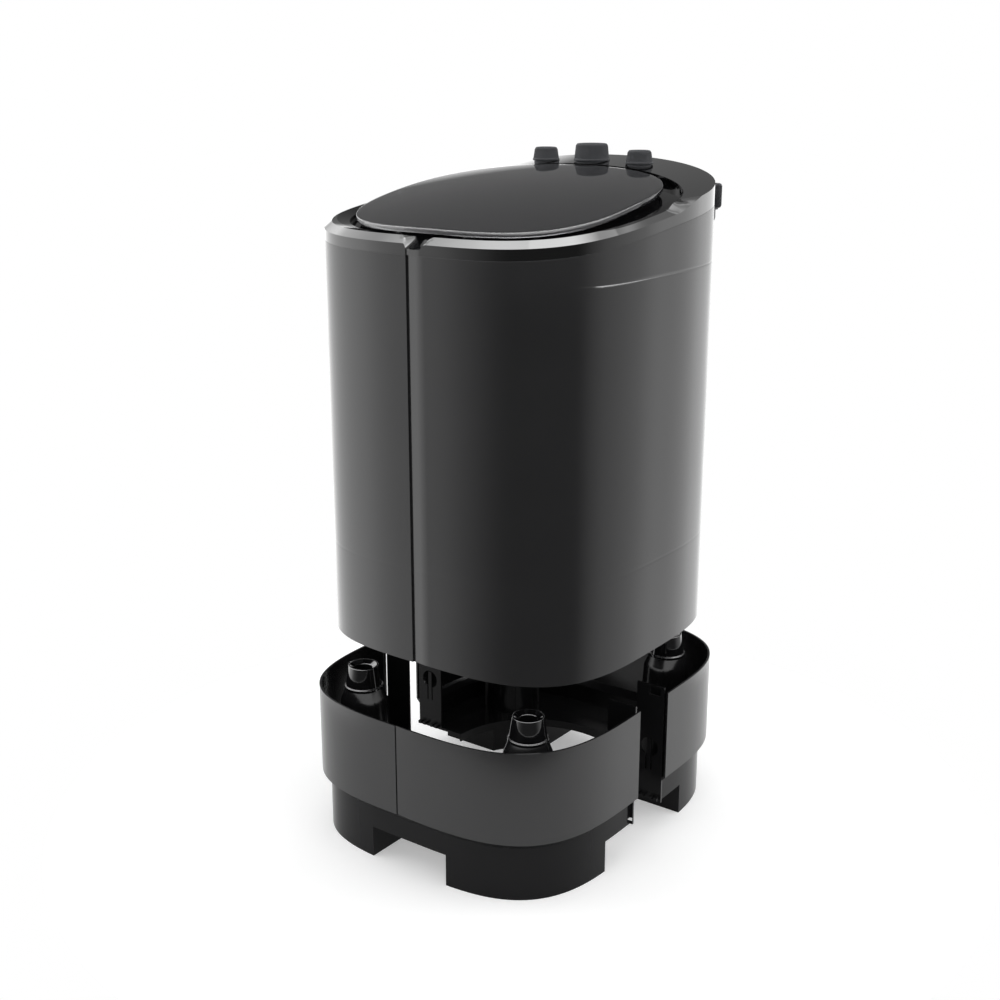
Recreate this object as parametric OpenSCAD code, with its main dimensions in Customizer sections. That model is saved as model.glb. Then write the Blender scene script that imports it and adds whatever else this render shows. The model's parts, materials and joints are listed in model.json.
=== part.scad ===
// Semi-automatic washing machine, shown taken apart in three: the cabinet with its tub held up
// over a base that comes in two halves. Millimetres, +Z up, the front faces -Y, and the origin
// is on the floor under the middle. Lowering the cabinet and closing the halves puts it together.

/* [Base] */
// Half of the base's width
base_half_w = 260; // [240:1:280]
// Half of the base's depth when its halves are closed
base_half_d = 264; // [244:1:284]
// Height of the base's rim over the floor
rim_z = 247.5; // [230:0.5:270]
// Height of the ledge where the base steps in
ledge_z = 99; // [85:1:115]
// How far the lower band stands in from the upper one
step_in = 12; // [6:1:16]
// Wall of the base
base_wall = 3; // [2:0.1:4]
// Height of the gaps between the feet
foot_gap_z = 52; // [40:1:60]
// Half width of the gaps between the feet
foot_gap_half = 73; // [50:1:90]
// Width of the floor between its round hole and the base's side
floor_in = 102; // [95:1:130]
// Height of a post's top over the floor
post_top_z = 275; // [262:1:285]
// Distance of a post's middle from the base's side
post_in = 97; // [94:1:105]
// How far each half of the base stands off the middle, taken apart
half_shift = 42; // [20:1:60]

/* [Cabinet] */
// Wall of the cabinet
cabinet_wall = 2.5; // [2:0.1:3]
// Room between the cabinet and the inside of the base
cabinet_fit = 0.6; // [0.4:0.1:1.2]
// Height of the cabinet's lower edge over the floor, taken apart
cabinet_z = 336; // [310:1:380]
// Depth of the cabinet's side seam under the tub's rim
side_seam_drop = 27; // [14:1:60]
// Height of the seam under the top frame over the tub's rim, at mid depth
seam_rise = 37.5; // [34:0.5:50]
// Tilt of that seam, rising to the back, in degrees
frame_tilt = 6.67; // [4:0.01:8]
// Half width of the channel down the front
channel_half_w = 12; // [8:0.5:16]
// Depth of the channel down the cabinet's front
channel_depth = 4; // [2:0.5:5]
// Depth of the channel where it runs on down the base's front
base_channel_depth = 1.5; // [0.5:0.1:2]

/* [Top] */
// Radius of the top's dome
crown_r = 1884; // [1700:1:2100]
// Height of the dome's highest point over the seam under the top frame
crown_rise = 78.1; // [72:0.1:88]
// How far behind the middle the dome's highest point lies
crown_y = 302; // [280:1:320]
// Wall of the top frame
frame_wall = 3; // [2.5:0.1:4]
// Distance from the lid's edge to the base's side
lid_side = 38; // [34:1:55]
// How much less deep than the base the lid is, at each end
lid_ends = 74; // [70:1:89]
// Middle of the lid, in front of the cabinet's middle
lid_y = -34; // [-40:1:-28]
// Thickness of the lid
lid_wall = 3; // [2.5:0.1:4]
// Diameter of the timer knob
timer_knob_d = 56; // [46:1:62]
// Diameter of the two small knobs
small_knob_d = 42; // [34:1:46]
// Place of the small knobs from the middle
small_knob_x = 89; // [80:1:110]
// Distance of the knobs from the base's back
knob_back = 70; // [60:1:74]

/* [Tub] */
// Distance from the inside of the tub to the base's side
tub_side = 47; // [44:0.5:55]
// Wall of the tub
tub_wall = 3; // [2.5:0.1:4]
// Height of the tub's floor over the cabinet's lower edge
tub_floor_h = 196; // [190:1:210]
// Height of the tub's rim over the cabinet's lower edge
tub_rim_h = 604; // [590:1:606]
// Radius of the impeller
impeller_r = 150; // [120:1:170]
// Number of the impeller's vanes
vane_count = 6; // [4:1:8]

/* [Drive] */
// Room between the two pulleys at their pitch circles
pulley_apart = 41; // [31:1:56]
// Pitch radius of the motor's pulley
motor_pulley_r = 20; // [16:1:26]
// Distance of the motor's shaft from the inside of the tub
motor_in = 67; // [61:1:73]
// Radius of the motor
motor_r = 56; // [48:1:60]
// Radius of the impeller's shaft
shaft_r = 6; // [5:0.5:8]

/* [Hidden] */

// How far a cut runs past what it cuts
over = 1;
// Room between pieces that touch or move on each other
gap = 0.3;
// Room round a turning shaft
run_fit = 0.05;
// Thinnest slice that a hull is drawn from
slice = 0.01;
// Exponent of the rounded square that the cabinet and the base share
square_power = 3.4;
// Exponent of the lid's outline
lid_power = 2.7;
$fn = 64;
// Corners of the outlines and facets of the dome
outline_steps = 120;
dome_steps = 240;

// How much deeper than wide the base may be before the round parts inside follow its width
depth_over = 4;
round_half = min(base_half_w, base_half_d - depth_over);
floor_hole_r = round_half - floor_in;
post_xy = round_half - post_in;
tub_r = round_half - tub_side;
frame_seam_h = tub_rim_h + seam_rise;
side_seam_h = tub_rim_h - side_seam_drop;
crown_h = frame_seam_h + crown_rise;
lid_half_w = base_half_w - lid_side;
lid_half_d = base_half_d - lid_ends;
knob_y = base_half_d - knob_back;
motor_y = tub_r - motor_in;
pulley_r = motor_y - motor_pulley_r - pulley_apart;
cabinet_half_w = base_half_w - base_wall - cabinet_fit;
cabinet_half_d = base_half_d - base_wall - cabinet_fit;
// Where the cabinet's lower edge stands once it is seated
seated_z = ledge_z + gap;
// Heights of the tub's seats over the cabinet's lower edge, from the posts that they stand on
seat_h = post_top_z + gap - seated_z;
post_places = [[-post_xy, post_xy], [post_xy, post_xy]];

// Points of a rounded square with half sides a and b
function rounded_square(a, b, power) = [for (i = [0 : outline_steps - 1])
    let (t = 360 * i / outline_steps, c = cos(t), s = sin(t))
    [a * sign(c) * pow(abs(c), 2 / power), b * sign(s) * pow(abs(s), 2 / power)]];

// Height of the dome over the cabinet's lower edge at a place
function dome_h(x, y, drop = 0) =
    crown_h - crown_r + sqrt(pow(crown_r - drop, 2) - pow(x, 2) - pow(y - crown_y, 2));

module base_outline(grow = 0) {
    polygon(rounded_square(base_half_w + grow, base_half_d + grow, square_power));
}

module cabinet_outline(grow = 0) {
    polygon(rounded_square(cabinet_half_w + grow, cabinet_half_d + grow, square_power));
}

module lid_outline(grow = 0) {
    translate([0, lid_y])
    polygon(rounded_square(lid_half_w + grow, lid_half_d + grow, lid_power));
}

// The room under the dome, taken down by drop
module under_dome(drop = 0) {
    translate([0, crown_y, crown_h - crown_r])
    sphere(r = crown_r - drop, $fn = dome_steps);
}

module on_cabinet() {
    translate([0, 0, cabinet_z]) children();
}

module ring(outer, inner, h) {
    difference() {
        cylinder(r = outer, h = h);
        translate([0, 0, -over]) cylinder(r = inner, h = h + 2 * over);
    }
}

module both_sides() {
    children();
    mirror([1, 0, 0]) children();
}

// Tall prism over an outline, for trimming pieces to their plan
trim_h = 1000;
wide = 400;

// Base halves

// Height of the slanted step between the two bands
step_h = 12;
floor_t = 4;
floor_lip = 14;
leg_wall = 4;
post_foot_r = 48;
post_neck_r = 38;
post_neck_z = 216;
post_top_r = 30;
post_shoulder_z = 236;
post_wall = 3;
post_fin_t = 3;
post_fin_h = 80;
flange_t = 3;
flange_side = 57;
flange_in_x = base_half_w - flange_side;
flange_top_z = 254;
// The slot between a flange and the wall, which the cabinet slides down in
flange_slot = cabinet_wall + 2 * cabinet_fit + gap;
flange_out_x = base_half_w - base_wall - flange_slot;
catch_side = 32;
catch_x = base_half_w - catch_side;
catch_z = 145;
catch_r = 16;
tongue_w = 7;
tongue_slot = 2.5;
tongue_down = 40;
prong_w = 4;
prong_reach = 7;
hook_w = 16;
hook_h = 10;
hook_reach = 9;
hook_z = 239;
hook_room = 2;
tab_w = 6;
tab_h = 5;
tab_reach = 8;
tab_side = 16;
tab_step = 10;
tab_pairs_apart = 26;
tab_places = [for (t = [tab_pairs_apart + tab_step, tab_pairs_apart, tab_step, 0])
    base_half_w - tab_side - t];

// The outside of the base, or with grow the room inside it
module base_form(grow, from_z) {
    translate([0, 0, ledge_z]) linear_extrude(rim_z - ledge_z + (grow < 0 ? over : 0)) base_outline(grow);
    hull() {
        translate([0, 0, ledge_z - slice]) linear_extrude(slice) base_outline(grow);
        translate([0, 0, ledge_z - step_h]) linear_extrude(slice) base_outline(grow - step_in);
    }
    translate([0, 0, from_z]) linear_extrude(ledge_z - step_h - from_z + slice) base_outline(grow - step_in);
}

// The ramp-shaped channel down the front, as a prism to cut with
module channel(front_d, depth) {
    linear_extrude(trim_h) polygon([[-channel_half_w, -front_d - depth], [-channel_half_w, -front_d + depth],
        [channel_half_w, -front_d], [channel_half_w, -front_d - depth]]);
}

module foot_gaps() {
    translate([-foot_gap_half, -wide, -over]) cube([2 * foot_gap_half, 2 * wide, foot_gap_z + over]);
    translate([-wide, -foot_gap_half, -over]) cube([2 * wide, 2 * foot_gap_half, foot_gap_z + over]);
}

// Inner walls of the two legs of a half, which close them towards the gaps and the hole
module leg_walls() {
    intersection() {
        linear_extrude(foot_gap_z + floor_t) base_outline(-step_in - base_wall / 2);
        difference() {
            union() {
                ring(floor_hole_r + base_wall, floor_hole_r, foot_gap_z + floor_t);
                for (x = [-foot_gap_half - leg_wall, foot_gap_half])
                    translate([x, floor_hole_r - base_half_w / 2, 0])
                        cube([leg_wall, base_half_d, foot_gap_z + floor_t]);
                both_sides() translate([0, foot_gap_half, 0])
                    cube([base_half_w, leg_wall, foot_gap_z + floor_t]);
            }
            foot_gaps();
            translate([0, 0, -over]) cylinder(r = floor_hole_r, h = foot_gap_z + floor_t + 2 * over);
        }
    }
}

module post_body() {
    cylinder(r1 = post_foot_r, r2 = post_neck_r, h = post_neck_z - foot_gap_z);
    translate([0, 0, post_neck_z - foot_gap_z])
        cylinder(r1 = post_neck_r, r2 = post_top_r, h = post_shoulder_z - post_neck_z);
    for (a = [45 : 90 : 315])
        rotate([0, 0, a]) translate([0, -post_fin_t / 2, 0])
            cube([post_foot_r + post_fin_t, post_fin_t, post_fin_h]);
}

module post_bore() {
    translate([0, 0, floor_t])
    cylinder(r1 = post_foot_r - post_wall, r2 = post_neck_r - post_wall,
        h = post_neck_z - foot_gap_z - floor_t);
    translate([0, 0, post_neck_z - foot_gap_z - slice])
    cylinder(r = post_top_r - 2 * post_wall, h = post_shoulder_z - post_neck_z + over);
}

// One half of the base, drawn as the rear one with its split face at y = 0
module base_half() {
    difference() {
        union() {
            difference() {
                base_form(0, 0);
                base_form(-base_wall, -over);
            }
            translate([0, 0, foot_gap_z]) linear_extrude(floor_t) base_outline(-step_in - base_wall / 2);
            translate([0, 0, foot_gap_z + floor_t - floor_lip])
                ring(floor_hole_r + base_wall, floor_hole_r, floor_lip);
            for (p = post_places)
                translate([p[0], p[1], foot_gap_z]) post_body();
        }
        foot_gaps_except_lip();
        translate([0, 0, foot_gap_z - floor_lip]) cylinder(r = floor_hole_r, h = floor_lip + floor_t + over);
        for (p = post_places)
            translate([p[0], p[1], foot_gap_z]) post_bore();
        translate([-wide, -wide, -over]) cube([2 * wide, wide + gap / 2, trim_h]);
    }
    difference() {
        leg_walls();
        translate([-wide, -wide, -over]) cube([2 * wide, wide + gap / 2, trim_h]);
    }
    both_sides() flange();
}

// The gaps between the feet, cut through the outer wall alone
module foot_gaps_except_lip() {
    difference() {
        foot_gaps();
        translate([0, 0, -2 * over]) cylinder(r = floor_hole_r + base_wall, h = trim_h);
    }
}

// End plate beside the split, clear of the wall above the ledge so that the cabinet can pass
module flange() {
    translate([flange_in_x, gap / 2, foot_gap_z])
        cube([flange_out_x - flange_in_x, flange_t, flange_top_z - foot_gap_z]);
    intersection() {
        translate([flange_in_x, gap / 2, foot_gap_z]) cube([base_half_w, flange_t, ledge_z - foot_gap_z]);
        base_form(-base_wall / 2, 0);
    }
}

module rear_catch_cuts() {
    both_sides() {
        translate([catch_x, -over, catch_z]) rotate([-90, 0, 0]) difference() {
            cylinder(r = catch_r, h = flange_t + 2 * over);
            translate([-tongue_w / 2, -tongue_w * 2, -over]) cube([tongue_w, trim_h, flange_t + 4 * over]);
        }
        for (x = [-tongue_w / 2 - tongue_slot, tongue_w / 2])
            translate([catch_x + x, -over, catch_z - tongue_down])
                cube([tongue_slot, flange_t + 2 * over, tongue_down]);
        translate([catch_x - hook_room, -over, hook_z - hook_room])
        cube([hook_w + 2 * hook_room, flange_t + 2 * over, hook_h + 2 * hook_room]);
    }
}

module base_rear() {
    color([0.07, 0.07, 0.075]) translate([0, half_shift, 0]) {
        difference() {
            base_half();
            rear_catch_cuts();
        }
        both_sides() for (x = tab_places)
            translate([x, gap / 2 - tab_reach, foot_gap_z + floor_t + gap])
                cube([tab_w, tab_reach + flange_t, tab_h]);
    }
}

module base_front() {
    color([0.07, 0.07, 0.075]) translate([0, -half_shift, 0]) {
        difference() {
            mirror([0, 1, 0]) base_half();
            translate([0, 0, ledge_z]) channel(base_half_d, base_channel_depth);
            both_sides() translate([tab_places[0] - hook_room, -tab_reach - hook_room, foot_gap_z + floor_t])
                cube([tab_places[3] + tab_w - tab_places[0] + 2 * hook_room, tab_reach + 2 * hook_room,
                    tab_h + hook_room]);
        }
        both_sides() {
            for (s = [-1, 1])
                translate([catch_x + s * (tongue_w / 2 + tongue_slot + prong_w / 2) - prong_w / 2,
                    -flange_t, catch_z - prong_w])
                cube([prong_w, flange_t + prong_reach, 2 * prong_w]);
            translate([catch_x, -flange_t, hook_z]) cube([hook_w, flange_t + hook_reach, hook_h]);
        }
    }
}

cap_lip = 2;
cap_lip_h = 5;
cap_top_r = 24;
cap_wall = 5;
cap_spigot_h = 14;

// Glossy cap on a post, open at the top, with a spigot down into the post
module post_cap() {
    cap_h = post_top_z - post_shoulder_z - gap;
    translate([0, 0, post_shoulder_z + gap]) difference() {
        union() {
            cylinder(r = post_top_r + cap_lip / 2, h = cap_lip_h);
            cylinder(r1 = post_top_r, r2 = cap_top_r, h = cap_h);
            translate([0, 0, -cap_spigot_h])
                cylinder(r = post_top_r - 2 * post_wall - gap, h = cap_spigot_h + over);
        }
        translate([0, 0, -cap_spigot_h - over])
            cylinder(r = cap_top_r - 2 * cap_wall, h = cap_h + cap_spigot_h + 2 * over);
        translate([0, 0, cap_h - cap_wall])
            cylinder(r1 = cap_top_r - 2 * cap_wall, r2 = cap_top_r - cap_wall / 2, h = cap_wall + slice);
    }
}

module rear_post_caps() {
    color([0.02, 0.02, 0.022]) for (p = post_places)
        translate([p[0], p[1] + half_shift, 0]) post_cap();
}

module front_post_caps() {
    color([0.02, 0.02, 0.022]) for (p = post_places)
        translate([p[0], -p[1] - half_shift, 0]) post_cap();
}

// Cabinet shell, collar and frame

collar_front = 64.4;
collar_y = collar_front - cabinet_half_d;
collar_tongue_h = 16;
frame_band_h = 16;
bevel_h = 13;
bevel_in = 8;
panel_back = 100;
panel_y = lid_y + panel_back;
groove_side = 26;
groove_power = 3.1;
recess_w = 9;
recess_depth = 16;
mouth_side = 38;
mouth_ends = 42;
mouth_ahead = 2;
mouth_half_w = round_half - lid_side - mouth_side;
mouth_half_d = round_half + depth_over - lid_ends - mouth_ends;
mouth_y = lid_y - mouth_ahead;
mouth_power = 2.5;
skirt_t = 3;
skirt_low = 8;
skirt_end_h = tub_rim_h - skirt_low;
notch_half_w = 15;
notch_low = 5;
lip_t = 2.5;
lip_drop = 14;

// Everything below the tilted seam plane, moved up or down along the cabinet
module below_seam(rise = 0) {
    translate([0, 0, frame_seam_h + rise]) rotate([frame_tilt, 0, 0])
    translate([-wide, -wide, -trim_h]) cube([2 * wide, 2 * wide, trim_h]);
}

module behind(y) {
    translate([-wide, y, -over]) cube([2 * wide, 2 * wide, trim_h]);
}

module shell_wall(grow = 0) {
    difference() {
        linear_extrude(trim_h) cabinet_outline(grow);
        translate([0, 0, -over]) linear_extrude(trim_h + 2 * over) cabinet_outline(grow - cabinet_wall);
    }
}

module cabinet_shell() {
    color([0.09, 0.09, 0.095]) on_cabinet() {
        intersection() {
            difference() {
                union() {
                    shell_wall();
                    channel_rib();
                }
                translate([0, 0, -over]) channel(cabinet_half_d, channel_depth);
                translate([0, 0, side_seam_h]) behind(collar_y);
                drain_hole();
                collar_screw_bores();
            }
            below_seam(-gap);
        }
    }
}

// The wall behind the front channel, folded inwards
module channel_rib() {
    linear_extrude(trim_h) polygon([
        [-channel_half_w - cabinet_wall, -cabinet_half_d + cabinet_wall / 2],
        [-channel_half_w - cabinet_wall, -cabinet_half_d + channel_depth + cabinet_wall],
        [channel_half_w, -cabinet_half_d + 1.5 * cabinet_wall],
        [channel_half_w + cabinet_wall, -cabinet_half_d + cabinet_wall / 2]]);
}

collar_screw_r = 2.5;
collar_screw_y = 90;
collar_screw_skin = 0.8;
collar_screw_room = 0.5;

module top_collar() {
    color([0.09, 0.09, 0.095]) on_cabinet() intersection() {
        union() {
            intersection() {
                shell_wall();
                translate([0, 0, side_seam_h + gap]) behind(collar_y + gap);
            }
            intersection() {
                shell_wall(-cabinet_wall - gap);
                translate([0, 0, side_seam_h - collar_tongue_h]) linear_extrude(2 * collar_tongue_h)
                translate([-wide, collar_y + gap]) square([2 * wide, 2 * wide]);
            }
            intersection() {
                difference() {
                    linear_extrude(trim_h) cabinet_outline(-cabinet_wall / 2);
                    translate([0, 0, -over]) linear_extrude(trim_h + 2 * over)
                        cabinet_outline(-2 * cabinet_wall - gap);
                }
                translate([0, 0, side_seam_h + gap]) linear_extrude(collar_tongue_h)
                translate([-wide, collar_y + gap]) square([2 * wide, 2 * wide]);
            }
        }
        below_seam(-gap);
        difference() {
            translate([-wide, -wide, 0]) cube([2 * wide, 2 * wide, trim_h]);
            inlet_hole();
            gland_hole();
            collar_screw_bores();
        }
    }
}

// The frame's outside, or with grow and drop the room inside it: band, bevel, the wide groove
// round the lid, and behind it the knobs' panel that carries the dome out to the outline
module frame_form(grow = 0, drop = 0, from = 0) {
    tilt_d = (cabinet_half_d + grow) / cos(frame_tilt);
    intersection() {
        linear_extrude(trim_h) cabinet_outline(grow);
        union() {
            translate([0, 0, frame_seam_h]) rotate([frame_tilt, 0, 0]) {
                translate([-wide, -wide, from]) cube([2 * wide, 2 * wide, frame_band_h - drop - from]);
                hull() for (s = [[0, 0], [bevel_h, bevel_in]])
                    translate([0, 0, frame_band_h - drop + s[0]]) linear_extrude(slice)
                    polygon(rounded_square(cabinet_half_w + grow - s[1], tilt_d - s[1], square_power));
            }
            difference() {
                translate([0, 0, frame_seam_h]) rotate([frame_tilt, 0, 0])
                    translate([-wide, panel_y - grow, from]) cube([2 * wide, wide, wide]);
                linear_extrude(trim_h) groove_outline(-grow);
            }
            intersection() {
                linear_extrude(trim_h) groove_outline(-grow);
                translate([0, 0, frame_seam_h]) rotate([frame_tilt, 0, 0])
                    translate([-wide, -wide, from]) cube([2 * wide, 2 * wide, wide]);
                under_dome(recess_depth + drop);
            }
        }
        under_dome(drop);
    }
}

// Outer edge of the groove round the lid, as narrow at the back as the recess itself
module groove_outline(grow = 0) {
    translate([0, lid_y])
    polygon(rounded_square(lid_half_w + groove_side + grow, lid_half_d + recess_w + grow, groove_power));
}

module mouth_outline(grow = 0) {
    translate([0, mouth_y]) polygon(rounded_square(mouth_half_w + grow, mouth_half_d + grow, mouth_power));
}

frame_boss_r = 7;
frame_screw_r = 2;
tub_screw_out = 13;
tub_screw_at = tub_r + tub_screw_out;
knob_places = [[-small_knob_x, knob_y], [0, knob_y], [small_knob_x, knob_y]];
knob_hole_r = 7.5;

module top_frame() {
    color([0.03, 0.03, 0.033]) on_cabinet() difference() {
        union() {
            frame_shell();
            frame_lip();
            mouth_skirt();
            frame_bosses();
            hinge_blocks();
        }
        translate([0, 0, skirt_end_h - over]) linear_extrude(trim_h) mouth_outline();
        tub_screw_places() translate([0, 0, tub_rim_h]) cylinder(r = frame_screw_r, h = boss_screw_len);
        unit_screw_bores();
        for (p = knob_places)
            translate([p[0], p[1], dome_h(p[0], p[1]) - trim_h / 4])
                cylinder(r = knob_hole_r, h = trim_h / 2);
        notch_cut();
        channel(cabinet_half_d, base_channel_depth);
        hinge_bores();
    }
}

// Band, bevel, groove and panel, with the recess that the lid lies in
module frame_shell() {
    difference() {
        frame_form();
        difference() {
            frame_form(-frame_wall, frame_wall, -over);
            recess_pan();
            notch_cut(frame_wall);
        }
        intersection() {
            translate([0, 0, skirt_end_h]) linear_extrude(trim_h) lid_outline(recess_w);
            difference() {
                translate([-wide, -wide, skirt_end_h]) cube([2 * wide, 2 * wide, trim_h / 4]);
                under_dome(recess_depth);
            }
        }
    }
}

// Lip that locates the frame inside the cabinet
module frame_lip() {
    intersection() {
        difference() {
            linear_extrude(trim_h) cabinet_outline(-cabinet_wall - gap);
            translate([0, 0, -over]) linear_extrude(trim_h + 2 * over)
                cabinet_outline(-cabinet_wall - gap - lip_t);
        }
        translate([0, 0, frame_seam_h]) rotate([frame_tilt, 0, 0]) difference() {
            translate([-wide, -wide, -lip_drop]) cube([2 * wide, 2 * wide, lip_drop + frame_band_h]);
            translate([-2 * channel_half_w, -wide, -lip_drop - over])
            cube([4 * channel_half_w, wide, lip_drop + frame_band_h / 2]);
        }
    }
}

// Skirt that hangs down into the tub
module mouth_skirt() {
    intersection() {
        translate([0, 0, skirt_end_h]) linear_extrude(trim_h / 4) mouth_outline(skirt_t);
        under_dome(recess_depth + frame_wall / 2);
    }
}

// Bosses for the screws that hold the tub: the front two end in the recess's floor, the rear
// two under the panel
module frame_bosses() {
    for (a = [45 : 90 : 315])
        intersection() {
            rotate([0, 0, a]) translate([tub_screw_at, 0, tub_rim_h + gap])
                cylinder(r = frame_boss_r, h = trim_h / 4);
            under_dome(a > 180 ? recess_depth + frame_wall / 2 : frame_wall / 2);
        }
}

boss_screw_len = 14;

// Floor and wall of the recess that the lid lies in
module recess_pan() {
    intersection() {
        linear_extrude(trim_h) lid_outline(recess_w + frame_wall);
        difference() {
            under_dome(0);
            under_dome(recess_depth + frame_wall);
        }
    }
}

// V-shaped finger notch at the front of the frame, or with grow the liner round it
module notch_cut(grow = 0) {
    translate([0, -cabinet_half_d, frame_seam_h - cabinet_half_d * tan(frame_tilt)])
    rotate([90, 0, 0]) translate([0, 0, -notch_half_w * 2 - grow]) linear_extrude(3 * notch_half_w + grow)
    polygon([[-notch_half_w - 2 * grow, 2 * notch_half_w + grow], [0, notch_low - 3 * grow],
        [notch_half_w + 2 * grow, 2 * notch_half_w + grow]]);
}

// Lid and its hinge

hinge_in = 4;
hinge_y = lid_y + lid_half_d - hinge_in;
hinge_x = 90;
hinge_drop = 7;
hinge_pin_r = 2.5;
hinge_pin_len = 34;
hinge_arm_w = 14;
hinge_block_w = 8;
hinge_r = 5.5;
hinge_h = dome_h(hinge_x, hinge_y) - hinge_drop;
lid_rim_h = 7;
lid_rim_t = 2.5;
lid_lift = 0.5;
lid_under = 3;
lid_foot_r = 4;
lid_foot_in = 8;
lid_foot_x = 60;
pin_room = 1.6;

module hinge_axis(x) {
    translate([x, hinge_y, hinge_h]) rotate([0, 90, 0]) children();
}

module hinge_blocks() {
    both_sides() for (x = [hinge_x - hinge_arm_w / 2 - gap - hinge_block_w, hinge_x + hinge_arm_w / 2 + gap])
        hull() {
            hinge_axis(x) cylinder(r = hinge_r - gap, h = hinge_block_w, $fn = 32);
            translate([x, hinge_y - hinge_r + gap, hinge_h - recess_depth])
                cube([hinge_block_w, 2 * hinge_r - 2 * gap, over]);
        }
}

module hinge_bores() {
    both_sides() hinge_axis(hinge_x - hinge_pin_len / 2)
        cylinder(r = hinge_pin_r + run_fit / 2, h = hinge_pin_len);
}

module lid() {
    color([0.05, 0.05, 0.055, 0.75]) on_cabinet() difference() {
        union() {
            intersection() {
                linear_extrude(trim_h) lid_outline();
                difference() {
                    under_dome(-lid_lift);
                    under_dome(lid_wall - lid_lift);
                }
            }
            intersection() {
                linear_extrude(trim_h) difference() {
                    lid_outline();
                    lid_outline(-lid_rim_t);
                }
                difference() {
                    under_dome(lid_wall / 2);
                    under_dome(lid_rim_h);
                }
            }
            lid_feet();
            both_sides() hull() {
                hinge_axis(hinge_x - hinge_arm_w / 2) cylinder(r = hinge_r, h = hinge_arm_w, $fn = 32);
                translate([hinge_x - hinge_arm_w / 2, hinge_y - 3 * hinge_r,
                    hinge_h + hinge_r - lid_wall / 2])
                    cube([hinge_arm_w, hinge_r, over]);
            }
        }
        both_sides() hinge_axis(hinge_x - hinge_arm_w)
            cylinder(r = hinge_pin_r + run_fit, h = 2 * hinge_arm_w);
        both_sides()
            for (x = [hinge_x - hinge_arm_w / 2 - hinge_block_w - 3 * gap, hinge_x + hinge_arm_w / 2])
            hinge_axis(x) cylinder(r = hinge_r + lid_under, h = hinge_block_w + 3 * gap);
    }
}

// Short feet that the lid rests on in the recess
module lid_feet() {
    intersection() {
        both_sides() {
            translate([lid_foot_x, lid_y - lid_half_d + lid_foot_in, 0]) cylinder(r = lid_foot_r, h = trim_h);
            translate([lid_half_w - lid_foot_in, lid_y, 0]) cylinder(r = lid_foot_r, h = trim_h);
        }
        difference() {
            under_dome(lid_wall / 2);
            under_dome(recess_depth - gap);
        }
    }
}

module hinge_pins() {
    color([0.6, 0.6, 0.62]) on_cabinet() both_sides()
        hinge_axis(hinge_x - hinge_pin_len / 2 + pin_room)
            cylinder(r = hinge_pin_r, h = hinge_pin_len - 2 * pin_room);
}

// Screws, drawn head up or head down from the face that they bear on

screw_head_share = 1.9;
screw_slot_share = 0.2;

module screw(r, len) {
    cylinder(r = r - gap / 2, h = len);
    difference() {
        translate([0, 0, -r]) cylinder(r = r * screw_head_share, h = r);
        translate([0, 0, -r]) for (a = [0, 90])
            rotate([0, 0, a]) translate([-r, -r * screw_slot_share, -r])
                cube([2 * r, 2 * r * screw_slot_share, 3 * r / 2]);
    }
}

// Half width of the cabinet's outline taken in by some amount, at a place along it
function half_width(y, taken) =
    (cabinet_half_w - taken)
        * pow(1 - pow(abs(y) / (cabinet_half_d - taken), square_power), 1 / square_power);

// Puts a screw on each side's inner face, pointing outwards through the collar's tongue
module collar_screw_places() {
    both_sides() for (y = [-collar_screw_y, collar_screw_y])
        translate([half_width(y, 2 * cabinet_wall + gap) - collar_screw_room, y,
            side_seam_h - collar_tongue_h / 2])
        rotate([0, 90, 0]) children();
}

collar_screw_len = half_width(collar_screw_y, collar_screw_skin)
    - half_width(collar_screw_y, 2 * cabinet_wall + gap) + collar_screw_room;

module collar_screw_bores() {
    collar_screw_places() translate([0, 0, -over]) cylinder(r = collar_screw_r, h = collar_screw_len + over);
}

module collar_screws() {
    color([0.6, 0.6, 0.62]) on_cabinet() collar_screw_places() screw(collar_screw_r, collar_screw_len - gap);
}

// Tub

pad_r = 36;
pad_top_h = 30;
seat_depth = 5;
seat_r = 31;
flange_w = 22;
flange_h = 3;
hub_r = 40;
hub_bore_r = 20;

module tub() {
    color([0.75, 0.76, 0.78]) on_cabinet() difference() {
        union() {
            translate([0, 0, tub_floor_h - tub_wall])
                cylinder(r = tub_r + tub_wall, h = tub_rim_h - tub_floor_h + tub_wall, $fn = 128);
            translate([0, 0, tub_rim_h - flange_h]) cylinder(r = tub_r + flange_w, h = flange_h, $fn = 128);
            translate([0, 0, tub_floor_h - 2 * tub_wall]) cylinder(r = hub_r, h = 2 * tub_wall);
            seat_places() translate([0, 0, seat_h - seat_depth])
                cylinder(r = pad_r, h = tub_floor_h - seat_h + pad_top_h);
        }
        translate([0, 0, tub_floor_h]) cylinder(r = tub_r, h = trim_h, $fn = 128);
        translate([0, 0, tub_floor_h - 3 * tub_wall]) cylinder(r = hub_bore_r, h = 4 * tub_wall);
        seat_places() translate([0, 0, seat_h - seat_depth - over])
            cylinder(r = seat_r, h = seat_depth + over);
        tub_screw_places() translate([0, 0, tub_rim_h - 2 * flange_h])
            cylinder(r = frame_screw_r, h = 3 * flange_h);
        translate([drain_x, drain_y, tub_floor_h - 3 * tub_wall]) cylinder(r = drain_r, h = 4 * tub_wall);
    }
}

module seat_places() {
    for (x = [-post_xy, post_xy], y = [-post_xy, post_xy])
        translate([x, y, 0]) children();
}

module tub_screw_places() {
    for (a = [45 : 90 : 315])
        rotate([0, 0, a]) translate([tub_screw_at, 0, 0]) children();
}

module tub_screws() {
    color([0.6, 0.6, 0.62]) on_cabinet() tub_screw_places()
        translate([0, 0, tub_rim_h - flange_h]) screw(frame_screw_r, boss_screw_len - over);
}

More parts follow.
